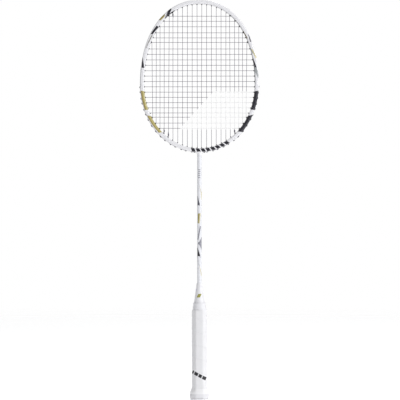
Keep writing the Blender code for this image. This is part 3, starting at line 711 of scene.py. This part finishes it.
def crossRoute():
    back = cord["layer"]
    tieHigh, tieLow = findHole(-1, ties["crossHigh"]), findHole(-1, ties["crossLow"])
    first = findHole(-1, ("cross", 0, "side"))
    points = [innerTurn(tieHigh, back), outerTurn(tieHigh, back)]
    points += outerRun(tieHigh, first, back) + [outerTurn(first, back)]
    lines = mainLines()
    side = -1
    for j in range(bed["crosses"]):
        start, end = findHole(-1, ("cross", j, "side")), findHole(1, ("cross", j, "side"))
        left, right = innerTurn(start, back), innerTurn(end, back)
        shares = []
        numbers = []
        for n, (_, _, low, high) in enumerate(lines):
            if not low.z + cord["clear"] < left.z < high.z - cord["clear"]:
                continue
            x = low.x + (high.x - low.x) * (left.z - low.z) / (high.z - low.z)
            shares.append((x - left.x) / (right.x - left.x))
            numbers.append(n)
        # opposite to what the first main does here
        frontFirst = (numbers[0] + j) % 2 == 1
        run = wovenRun(left, right, shares, frontFirst)
        points += run if side < 0 else list(reversed(run))
        here = end if side < 0 else start
        points.append(outerTurn(here, back))
        side = -side
        if j + 1 < bed["crosses"]:
            after = findHole(side, ("cross", j + 1, "side"))
            points += outerRun(here, after, back)
            points.append(outerTurn(after, back))
    points += outerRun(here, tieLow, tieBack, lane=cord["lane"])
    points += [outerTurn(tieLow, back), innerTurn(tieLow, back)]
    return points


def softenBends(points, radius):
    # replaces each sharp bend by a short curve
    softened = [points[0]]
    for before, here, after in zip(points, points[1:], points[2:]):
        back, ahead = before - here, after - here
        if back.length < 1e-6 or ahead.length < 1e-6:
            continue
        if back.angle(ahead) > math.radians(165):
            softened.append(here)
            continue
        a = here + back.normalized() * min(radius, back.length * 0.45)
        b = here + ahead.normalized() * min(radius, ahead.length * 0.45)
        for t in (0.0, 0.33, 0.67, 1.0):
            softened.append(a.lerp(here, t).lerp(here.lerp(b, t), t))
    return softened + [points[-1]]


def tubeAlong(bm, points, radius, sides):
    # a round cord on a path; the frame is carried along so that it never twists
    count = len(points)
    tangents = []
    for k in range(count):
        tangents.append((points[min(k + 1, count - 1)] - points[max(k - 1, 0)]).normalized())
    sideways = tangents[0].orthogonal().normalized()
    frames = []
    run = [0.0]
    for k in range(count):
        sideways = (sideways - tangents[k] * sideways.dot(tangents[k])).normalized()
        frames.append((sideways, tangents[k].cross(sideways)))
        if k:
            run.append(run[-1] + (points[k] - points[k - 1]).length)

    def place(i, j):
        a, b = frames[i]
        angle = 2 * math.pi * j / sides
        return points[i] + (a * math.cos(angle) + b * math.sin(angle)) * radius

    wrapGrid(bm, count - 1, sides, place, lambda i, j: (run[i], j / sides))


stringPaint = {
    "cord": (0.086, 0.073, 0.122), "worn": (0.17, 0.15, 0.21), "ink": (0.90, 0.90, 0.91),
    # one plain white band with a slanted left end
    "bandLow": 0.4555, "bandHigh": 0.5215, "endAt": -0.006, "endSlope": 0.9, "ragged": 0.0012,
    "inkEdge": 0.0006, "strandPitch": 0.0009,
}


def paintForStrings():
    material, board, shader = newMaterial("stringNylon", stringPaint["cord"], 0.42, Coat_Weight=0.2,
                                          Coat_Roughness=0.25)
    run, turn, _ = axesOf(board, "UV")
    twist = plus(board, sums(board, "DIVIDE", run, stringPaint["strandPitch"]), turn)
    strand = sums(board, "SINE", times(board, twist, 2 * math.pi * 2))
    worn = noise(board, 420.0, 4.0)
    colour = blendColour(board, remap(board, worn, 0.45, 0.8, 0.0, 0.5), stringPaint["cord"],
                         stringPaint["worn"])
    x, _, z = axesOf(board)
    middle = (stringPaint["bandLow"] + stringPaint["bandHigh"]) / 2
    half = (stringPaint["bandHigh"] - stringPaint["bandLow"]) / 2
    height = less(board, z, middle)
    fromEnd = less(board, less(board, x, stringPaint["endAt"]), times(board, height, stringPaint["endSlope"]))
    inBand = sums(board, "MINIMUM", less(board, half, sums(board, "ABSOLUTE", height)), fromEnd)
    ragged = times(board, noise(board, 700.0, 2.0), stringPaint["ragged"])
    inked = sums(board, "DIVIDE", less(board, inBand, ragged), stringPaint["inkEdge"], clamp=True)
    thin = remap(board, noise(board, 1900.0, 2.0), 0.2, 0.5, 0.75, 1.0)
    colour = blendColour(board, times(board, inked, thin), colour, stringPaint["ink"])
    dress(board, shader, colour, (worn, 0.3, 0.8, 0.36, 0.52), (strand, 0.00002, 0.7))
    return material


def makeStrings():
    material = paintForStrings()
    for name, route, node in (("mainString", mainRoute(), "main_string"),
                              ("crossString", crossRoute(), "cross_string")):
        bm = bmesh.new()
        tubeAlong(bm, softenBends(route, cord["bend"]), cord["radius"], cord["sides"])
        finishPiece(name, bm, material, [node], 60)
    return material


knotSize = {"turns": 5.5, "steps": 12, "away": 0.0030, "coil": 0.00080, "tall": 0.0044, "tail": 0.0024}
knots = [("mainLeftKnot", "knot_main_left", -1, "main"), ("mainRightKnot", "knot_main_right", 1, "main"),
         ("crossLowerKnot", "knot_cross_lower", -1, "crossLow"),
         ("crossUpperKnot", "knot_cross_upper", -1, "crossHigh")]


def makeKnots(material):
    # a few turns of string round the main, and a short tail
    for name, node, side, tie in knots:
        end = ties[tie]
        hole = findHole(side, end)
        other = ("main", end[1], "high" if end[2] == "low" else "low")
        near = innerTurn(hole, -cord["layer"])
        along = (innerTurn(findHole(side, other), -cord["layer"]) - near).normalized()
        away = Vector((0, 1, 0))
        third = along.cross(away)
        points = [innerTurn(hole, cord["layer"] + 0.0001)]
        steps = int(knotSize["turns"] * knotSize["steps"])
        tail = knotSize["tail"]
        for k in range(steps + 1):
            angle = 2 * math.pi * knotSize["turns"] * k / steps
            height = knotSize["away"] + knotSize["tall"] * (k / steps - 0.5)
            spoke = away * math.cos(angle) + third * math.sin(angle)
            points.append(near + along * height + spoke * knotSize["coil"])
        points.append(points[-1] + third * tail * 0.2 + along * tail * 0.3 - away * 0.0004)
        points.append(points[-1] + along * tail * 0.6 - away * 0.0003)
        bm = bmesh.new()
        tubeAlong(bm, points, cord["radius"], cord["sides"])
        finishPiece(name, bm, material, [node], 60)


# grommets

strip = {"wide": 0.0034, "end": 0.0018, "holes": 4, "round": 0.00024, "flange": 0.00058, "rise": 0.00060,
         "lowerRise": 0.00065}


def nylonForGrommets():
    material, board, shader = newMaterial("grommetNylon", (0.022, 0.022, 0.026), 0.48)
    scuffs = noise(board, 700.0, 5.0)
    colour = blendColour(board, remap(board, scuffs, 0.5, 0.8, 0.0, 0.6), (0.020, 0.020, 0.024),
                         (0.09, 0.09, 0.10))
    dress(board, shader, colour, (scuffs, 0.3, 0.8, 0.38, 0.6), (noise(board, 2400.0, 3.0), 0.00003, 0.5))
    return material


def makeGrommetStrip(name, group, material, node):
    bm = bmesh.new()
    mouths = [hole["s"] + hole["lean"] for hole in group]
    start, end = mouths[0] - strip["end"], mouths[-1] + strip["end"]
    count = max(6, round((end - start) / 0.0015))
    half, thick, cut = strip["wide"] / 2, barrel["strip"], strip["round"]
    section = [(0, -half + cut), (0, 0), (0, half - cut), (cut, half), (thick - cut, half),
               (thick, half - cut), (thick, 0), (thick, -half + cut), (thick - cut, -half), (cut, -half)]

    def place(i, j):
        s = start + (end - start) * i / count
        narrow = 0.6 if i in (0, count) else 1.0
        out, back = section[j]
        return onRim(s, barrel["lift"] - grooveAt(outlinePoint(s).z) + out, back * narrow)

    wrapGrid(bm, count, len(section), place)
    for hole in group:
        inner, outer, axis = holeAxis(hole)
        bore, wall = boreOf(hole), barrel["wall"]
        top = (outer - inner).length + barrel["lift"] + thick - grooveAt(outlinePoint(hole["s"]).z)
        low = -barrel["proud"]
        rise, flange = riseAt(outlinePoint(hole["s"]).z), strip["flange"]
        profile = [(bore, low), (bore + wall * 0.4, low), (bore + wall * 0.8, low + 0.0002),
                   (bore + wall, low + 0.0006), (bore + wall, top - 0.0002),
                   (bore + wall + flange, top - 0.0001), (bore + wall + flange * 0.8, top + rise * 0.55),
                   (bore + wall * 0.7, top + rise), (bore, top + rise * 0.7)]
        turn = axis.to_track_quat("Z", "Y").to_matrix().to_4x4()
        matrix = Matrix.Translation(inner + Vector((0, backOf(hole), 0))) @ turn
        spinProfile(bm, profile, barrel["sides"], matrix)
    finishPiece(name, bm, material, [node], 50)


def makeGrommets():
    material = nylonForGrommets()
    for side, word in ((1, "right"), (-1, "left")):
        mine = [hole for hole in holes if hole["side"] == side]
        for number, first in enumerate(range(0, len(mine), strip["holes"])):
            group = sorted(mine[first:first + strip["holes"]], key=lambda hole: hole["s"])
            node = f"grommet_strip_{word}_{number + 1:02d}"
            makeGrommetStrip(f"grommets{word.title()}{number + 1:02d}", group, material, node)


# shaft

shaft = {"radius": 0.0038, "bore": 0.0025, "sides": 56, "white": (0.85, 0.86, 0.905),
         "gold": (0.40, 0.34, 0.10), "paleGold": (0.72, 0.64, 0.36), "black": (0.012, 0.011, 0.018),
         "grey": (0.32, 0.32, 0.37), "smoke": (0.10, 0.10, 0.13)}
# colour, top, bottom, (left edge at the top, at the bottom), (right edge at the top, at the bottom)
# heights in metres, edges in degrees round the shaft from its front
shaftPatches = [
    ("smoke", 0.3640, 0.3500, (-16, 32), (-10, 40)),
    ("paleGold", 0.3610, 0.3510, (6, 34), (14, 48)),
    ("paleGold", 0.3510, 0.3370, (38, 46), (95, 60)),
    ("smoke", 0.3440, 0.3280, (-60, -58), (-44, 18)),
    ("gold", 0.3145, 0.2975, (-42, -50), (18, -14)),
    ("paleGold", 0.3145, 0.2975, (20, -12), (40, 10)),
    ("grey", 0.2932, 0.2700, (8, -62), (48, -24)),
    ("grey", 0.2740, 0.2640, (50, -26), (95, 95)),
    ("smoke", 0.2660, 0.2620, (-30, -30), (0, 5)),
    ("grey", 0.2640, 0.2500, (-26, 78), (95, 95)),
    ("black", 0.2570, 0.2422, (-70, -62), (-48, 30)),
    ("smoke", 0.2440, 0.2390, (0, 26), (18, 36)),
    ("grey", 0.2425, 0.2240, (-95, -95), (-50, -80)),
    ("smoke", 0.2300, 0.2250, (-18, 0), (-10, 8)),
    ("paleGold", 0.2255, 0.2090, (0, 48), (12, 80)),
]
# five short level ticks
shaftTicks = {"top": 0.3888, "tall": 0.0016, "gap": 0.0033, "count": 5, "low": -34, "high": 28}


def paintForShaft():
    material, board, shader, colour = startGloss("shaftPaint", shaft["white"], 0.5)
    axes = axesOf(board)
    # the back repeats the front, half a turn round
    turned = plus(board, turnAngle(board, axes), 90.0)
    folded = less(board, sums(board, "FLOORED_MODULO", turned, 180.0), 90.0)
    edges = (0.00015, 4.0)
    for shade, top, bottom, left, right in shaftPatches:
        inside = patch(board, axes[2], folded, bottom, top, left[::-1], right[::-1], 0.0, edges)
        colour = blendColour(board, inside, colour, shaft[shade])
    for number in range(shaftTicks["count"]):
        top = shaftTicks["top"] - shaftTicks["gap"] * number
        inside = patch(board, axes[2], folded, top - shaftTicks["tall"], top, (shaftTicks["low"],) * 2,
                       (shaftTicks["high"],) * 2, 0.0, edges)
        colour = blendColour(board, inside, colour, shaft["grey"])
    finishGloss(board, shader, colour)
    return material


def makeShaft():
    low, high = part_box("shaft_tube")
    top = high.z + 0.0004
    bm = bmesh.new()
    radius, bore = shaft["radius"], shaft["bore"]
    rows = 40
    outside = [(radius, low.z + (top - low.z) * k / rows) for k in range(rows + 1)]
    spinProfile(bm, outside + [(bore, top), (bore, low.z)], shaft["sides"])
    finishPiece("paintedShaft", bm, paintForShaft(), ["shaft_tube"])


# cone

cone = {"lip": 0.0009, "edge": 0.0004, "curve": 1.08, "rings": 22, "sides": 64, "gap": 0.0002,
        "white": (0.84, 0.84, 0.87), "speck": (0.70, 0.69, 0.75), "gold": (0.34, 0.33, 0.07),
        "lilac": (0.55, 0.52, 0.74)}
# colour, bottom, top, (left edge at the bottom, at the top), (right edge at the bottom, at the top), edges
coneMarks = [
    ("gold", 0.1728, 0.1788, (-40, -16), (8, 34), (0.0001, 3.0)),           # a plain lozenge
    ("lilac", 0.1840, 0.1870, (-84, -84), (-52, -52), (0.0002, 4.0)),       # a small dash
]


def plasticForCone():
    material, board, shader = newMaterial("conePlastic", cone["white"], 0.42, Coat_Weight=0.2,
                                          Coat_Roughness=0.3)
    axes = axesOf(board)
    angle = turnAngle(board, axes)
    speck = remap(board, noise(board, 1400.0, 3.0), 0.45, 0.8, 0.0, 0.12)
    colour = blendColour(board, speck, cone["white"], cone["speck"])
    for shade, bottom, top, left, right, edges in coneMarks:
        inside = patch(board, axes[2], angle, bottom, top, left, right, 0.0, edges)
        colour = blendColour(board, inside, colour, cone[shade])
    dress(board, shader, colour, (noise(board, 220.0), 0.3, 0.7, 0.38, 0.48),
          (noise(board, 1100.0, 3.0), 0.00003, 0.6))
    return material


def makeCone():
    low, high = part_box("cone_cap")
    topRadius = shaft["radius"] + cone["lip"]
    edge = cone["edge"]
    profile = [(topRadius - edge, high.z), (topRadius - edge * 0.3, high.z - edge * 0.3),
               (topRadius, high.z - edge)]
    for k in range(1, cone["rings"]):
        share = k / cone["rings"]
        profile.append((topRadius + (high.x - topRadius) * share ** cone["curve"],
                        high.z - (high.z - low.z) * share))
    bore = shaft["radius"] + cone["gap"]
    profile += [(high.x, low.z), (bore, low.z), (bore, high.z)]
    bm = bmesh.new()
    spinProfile(bm, profile, cone["sides"])
    finishPiece("shaftCone", bm, plasticForCone(), ["cone_cap"])


# handle: facets, wound grip, finishing tape and end badge

handle = {"wide": 0.0252, "deep": 0.0216, "face": 0.0120, "side": 0.0090, "top": 0.1602,
          "shoulder": 0.0125, "shoulderRadius": 0.0105, "flare": 0.0036, "flareLow": 0.0088,
          "flareTop": 0.0232, "footInset": 0.0016, "crisp": 34.0, "buttCrisp": 12.0}
wind = {"pitch": 0.0221, "seamAt": 0.0688, "step": 0.00034, "settle": 0.0030, "crease": 0.00022,
        "creaseWide": 0.0007, "fadeFrom": 0.020, "fadeOver": 0.012, "sides": 120, "rings": 300,
        "innerRings": 24, "thick": 0.0017, "tapedFrom": 0.1515, "tapedInset": 0.0007}
# height, depth and width of each crease round the butt
buttLines = [(0.0182, 0.00030, 0.0009), (0.0100, 0.00045, 0.0011)]


def growth(height):
    if height < handle["flareLow"]:
        share = (handle["flareLow"] - height) / handle["flareLow"]
        return handle["flare"] - handle["footInset"] * share * share
    if height < handle["flareTop"]:
        share = (height - handle["flareLow"]) / (handle["flareTop"] - handle["flareLow"])
        return handle["flare"] * (0.5 + 0.5 * math.cos(math.pi * share))
    return 0.0


def facetRadius(angle, grow, crisp):
    # distance from the axis to an octagon with softened corners
    wide, deep, face, side = (handle[key] / 2 for key in ("wide", "deep", "face", "side"))
    slope = Vector((deep - side, wide - face)).normalized()
    corner = slope.x * face + slope.y * deep
    tilt = math.atan2(slope.y, slope.x)
    total = 0.0
    sides = [(0, wide), (math.pi, wide), (math.pi / 2, deep), (-math.pi / 2, deep), (tilt, corner),
             (math.pi - tilt, corner), (-tilt, corner), (math.pi + tilt, corner)]
    for normal, reach in sides:
        facing = math.cos(angle - normal)
        if facing > 0:
            total += (facing / (reach + grow)) ** crisp
    return total ** (-1 / crisp)


def handleRadius(angle, height, inset=0.0):
    grow = growth(height)
    crisp = handle["crisp"] + (handle["buttCrisp"] - handle["crisp"]) * grow / handle["flare"]
    radius = facetRadius(angle, grow - inset, crisp)
    share = min(1.0, max(0.0, (height - handle["top"] + handle["shoulder"]) / handle["shoulder"]))
    return radius + (handle["shoulderRadius"] - inset - radius) * share * share * (3 - 2 * share)


def windingRelief(angle, height):
    # each turn lies a little over the one below it
    turn = (height - wind["seamAt"]) / wind["pitch"] + (angle + math.pi / 2) / (2 * math.pi)
    above = (turn % 1.0) * wind["pitch"]
    below = wind["pitch"] - above
    relief = wind["step"] * math.exp(-above / wind["settle"])
    relief -= wind["crease"] * math.exp(-(min(above, below) / wind["creaseWide"]) ** 2)
    relief *= min(1.0, max(0.0, (height - wind["fadeFrom"]) / wind["fadeOver"]))
    for at, depth, width in buttLines:
        relief -= depth * math.exp(-((height - at) / width) ** 2)
    return relief


gripLook = {"white": (0.82, 0.82, 0.84), "soft": (0.78, 0.78, 0.81), "seamShade": (0.70, 0.69, 0.73),
            "lavender": (0.74, 0.73, 0.78), "bright": (0.90, 0.90, 0.92), "ink": (0.010, 0.010, 0.014),
            "seamWide": 0.0011, "seamFrom": (0.022, 0.030), "lavenderTo": (0.0092, 0.0104),
            "brightFrom": (0.0102, 0.0110), "brightTo": (0.0186, 0.0193), "bandAt": 0.0413,
            "bandTall": 0.0064, "bandSlope": 0.53, "barLean": 0.35,
            "bars": [(-0.0119, -0.0094), (-0.0084, -0.0024), (-0.0014, 0.0040), (0.0050, 0.0112)]}


def coverForGrip():
    material, board, shader = newMaterial("gripCover", gripLook["white"], 0.58, Sheen_Weight=0.15)
    axes = axesOf(board)
    height = axes[2]
    # height measured along the winding
    wound = plus(board, height, times(board, turnAngle(board, axes), wind["pitch"] / 360.0))
    turn = sums(board, "FRACT", sums(board, "DIVIDE", less(board, wound, wind["seamAt"]), wind["pitch"]))
    nearSeam = times(board, sums(board, "MINIMUM", turn, less(board, 1.0, turn)), wind["pitch"])
    # a painted shade along each seam of the winding
    seamShade = remap(board, nearSeam, 0.0, gripLook["seamWide"], 0.22, 0.0)
    clouds = remap(board, noise(board, 90.0, 4.0), 0.35, 0.7, 0.0, 0.25)
    colour = blendColour(board, clouds, gripLook["white"], gripLook["soft"])
    above = remap(board, height, *gripLook["seamFrom"], 0.0, 1.0)
    colour = blendColour(board, times(board, seamShade, above), colour, gripLook["seamShade"])
    foot = remap(board, height, *gripLook["lavenderTo"], 0.35, 0.0)
    colour = blendColour(board, foot, colour, gripLook["lavender"])
    # the first turn of tape, doubled under itself, is brighter up to its edge
    doubled = times(board, remap(board, height, *gripLook["brightTo"], 1.0, 0.0),
                    remap(board, height, *gripLook["brightFrom"], 0.0, 1.0))
    colour = blendColour(board, doubled, colour, gripLook["bright"])
    inFront = sums(board, "LESS_THAN", axes[1], 0.0)
    slanted = plus(board, height, times(board, axes[0], gripLook["bandSlope"]))
    half = gripLook["bandTall"] / 2
    lean = half * gripLook["barLean"]
    for low, high in gripLook["bars"]:
        inside = patch(board, slanted, axes[0], gripLook["bandAt"] - half, gripLook["bandAt"] + half,
                       (low - lean, low + lean), (high - lean, high + lean), 0.0, (0.0002, 0.0002))
        colour = blendColour(board, times(board, inside, inFront), colour, gripLook["ink"])
    grain = board.nodes.new("ShaderNodeTexVoronoi")
    grain.inputs["Scale"].default_value = 1300.0
    plug(board, grain.inputs["Vector"], objectPoint(board))
    fine = plus(board, times(board, grain.outputs["Distance"], 0.6), noise(board, 3200.0, 3.0))
    dress(board, shader, colour, (noise(board, 300.0), 0.3, 0.7, 0.5, 0.66), (fine, 0.00008, 0.6))
    return material


def makeGrip():
    low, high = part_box("base_grip")
    rings, sides = wind["rings"], wind["sides"]

    def placeAt(height, j, inset, relief):
        angle = 2 * math.pi * j / sides
        radius = handleRadius(angle, height, inset)
        if relief:
            radius += windingRelief(angle if angle < math.pi else angle - 2 * math.pi, height)
        return Vector((radius * math.cos(angle), radius * math.sin(angle), height))

    def place(i, j):
        # up the outside, over the top edge, down the inside
        if i <= rings:
            height = low.z + (high.z - low.z) * i / rings
            inset = wind["tapedInset"] if height > wind["tapedFrom"] else 0.0
            return placeAt(height, j, inset, height < wind["tapedFrom"])
        height = high.z - (high.z - low.z) * (i - rings - 1) / wind["innerRings"]
        return placeAt(height, j, wind["thick"], False)

    bm = bmesh.new()
    wrapGrid(bm, rings + wind["innerRings"] + 1, sides, place, closeAlong=True)
    bridgeEnds(bm)
    finishPiece("woundGrip", bm, coverForGrip(), ["base_grip"], 50)


def bridgeEnds(bm):
    # joins the outer and inner bottom edges into a closed wall
    rims = [edge for edge in bm.edges if edge.is_boundary]
    bmesh.ops.bridge_loops(bm, edges=rims)
    bmesh.ops.recalc_face_normals(bm, faces=bm.faces)


tape = {"thick": 0.0004, "low": 0.1521, "tilt": 0.0026, "rows": 26, "sides": 96, "lap": 0.00016,
        "lapPitch": 0.006, "white": (0.83, 0.83, 0.86), "shade": (0.77, 0.77, 0.81)}


def vinylForTape():
    material, board, shader = newMaterial("finishingTape", tape["white"], 0.36, Coat_Weight=0.15,
                                          Coat_Roughness=0.2)
    stretch = noise(board, 180.0, 5.0)
    colour = blendColour(board, remap(board, stretch, 0.4, 0.7, 0.0, 0.5), tape["white"], tape["shade"])
    dress(board, shader, colour, (stretch, 0.3, 0.7, 0.3, 0.42), (stretch, 0.00012, 0.5))
    return material


def makeTape():
    low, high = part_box("finishing_tape")
    rows, sides = tape["rows"], tape["sides"]

    def place(i, j):
        angle = 2 * math.pi * j / sides
        bottom = tape["low"] - tape["tilt"] * math.cos(angle)
        outside = i <= rows
        share = i / rows if outside else 1 - (i - rows - 1) / rows
        height = bottom + (high.z - bottom) * share
        radius = handleRadius(angle, height, 0.0 if outside else tape["thick"])
        lap = ((height - tape["low"]) / tape["lapPitch"] + angle / (2 * math.pi)) % 1.0
        if outside:
            radius += tape["lap"] * math.exp(-lap * 6)
        return Vector((radius * math.cos(angle), radius * math.sin(angle), height))

    bm = bmesh.new()
    wrapGrid(bm, rows * 2 + 1, sides, place, closeAlong=True)
    bridgeEnds(bm)
    finishPiece("windingTape", bm, vinylForTape(), ["finishing_tape"], 50)


badge = {"thick": 0.0030, "edge": 0.0016, "sides": 96, "inset": 0.0022, "recess": 0.0004, "ringAt": 0.0072,
         "ringHalf": 0.0007, "white": (0.82, 0.82, 0.85), "gold": (0.34, 0.31, 0.12)}


def plasticForBadge():
    material, board, shader = newMaterial("badgePlastic", badge["white"], 0.28, Coat_Weight=0.3,
                                          Coat_Roughness=0.1)
    offRing = sums(board, "ABSOLUTE", less(board, fromAxis(board, axesOf(board)), badge["ringAt"]))
    ring = sums(board, "LESS_THAN", offRing, badge["ringHalf"])
    plug(board, shader.inputs["Base Color"], blendColour(board, ring, badge["white"], badge["gold"]))
    bump(board, shader, noise(board, 1500.0, 3.0), 0.00003, 0.5)
    return material


def makeBadge():
    bm = bmesh.new()
    made = bmesh.ops.create_circle(bm, cap_ends=True, segments=badge["sides"], radius=1)
    for vert in made["verts"]:
        angle = math.atan2(vert.co.y, vert.co.x)
        radius = handleRadius(angle, badge["thick"], 0.0)
        vert.co = (radius * math.cos(angle), radius * math.sin(angle), badge["thick"])
    grown = bmesh.ops.extrude_face_region(bm, geom=bm.faces[:])
    lower = [item for item in grown["geom"] if isinstance(item, bmesh.types.BMVert)]
    bmesh.ops.translate(bm, verts=lower, vec=(0, 0, -badge["thick"]))
    bottom = next(item for item in grown["geom"] if isinstance(item, bmesh.types.BMFace))
    bmesh.ops.bevel(bm, geom=list(bottom.edges), offset=badge["edge"], offset_type="OFFSET", segments=5,
                    profile=0.5, affect="EDGES", material=-1)
    bmesh.ops.recalc_face_normals(bm, faces=bm.faces)
    floorFace = min(bm.faces, key=lambda face: face.calc_center_median().z)
    bmesh.ops.inset_region(bm, faces=[floorFace], thickness=badge["inset"], depth=0)
    bmesh.ops.inset_region(bm, faces=[floorFace], thickness=0.0003, depth=-badge["recess"])
    finishPiece("endBadge", bm, plasticForBadge(), ["butt_badge"], 40)


# the hidden pieces keep their moulded shapes and get a finish

def finishInside():
    wood, board, shader = newMaterial("handleWood", (0.60, 0.44, 0.27), 0.62)
    wavy = plus(board, axesOf(board)[0], times(board, noise(board, 30.0, 3.0), 0.01))
    rings = sums(board, "SINE", times(board, wavy, 2400.0))
    plug(board, shader.inputs["Base Color"],
         blendColour(board, remap(board, rings, -1.0, 1.0, 0.0, 1.0), (0.62, 0.46, 0.29), (0.50, 0.34, 0.19)))
    bump(board, shader, rings, 0.00005, 0.4)
    carbon, board, shader = newMaterial("jointCarbon", (0.04, 0.04, 0.045), 0.4)
    plug(board, shader.inputs["Base Color"],
         blendColour(board, noise(board, 900.0, 2.0), (0.02, 0.02, 0.024), (0.08, 0.08, 0.085)))
    foam, board, shader = newMaterial("plugFoam", (0.35, 0.35, 0.36), 0.9)
    bump(board, shader, noise(board, 1800.0, 4.0), 0.0002, 0.8)
    steel, board, shader = newMaterial("tackSteel", (0.55, 0.55, 0.56), 0.35, Metallic=0.95)
    plug(board, shader.inputs["Roughness"], remap(board, noise(board, 1500.0), 0.3, 0.7, 0.28, 0.45))
    for node, material in (("handle_core", wood), ("t_joint", carbon), ("shaft_end_plug", foam),
                           ("grip_tack", steel)):
        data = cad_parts[node].data
        data.materials.clear()
        data.materials.append(material)


print("camera, lights and floor")
makeCamera()
makeLights()
makeWorld()
makeFloor()
print("hoop and neck")
makeHoop()
print("holes, strings and knots")
holes = drillHoles()
stringMaterial = makeStrings()
makeKnots(stringMaterial)
print("grommets")
makeGrommets()
print("shaft and cone")
makeShaft()
makeCone()
print("handle")
makeGrip()
makeTape()
makeBadge()
finishInside()
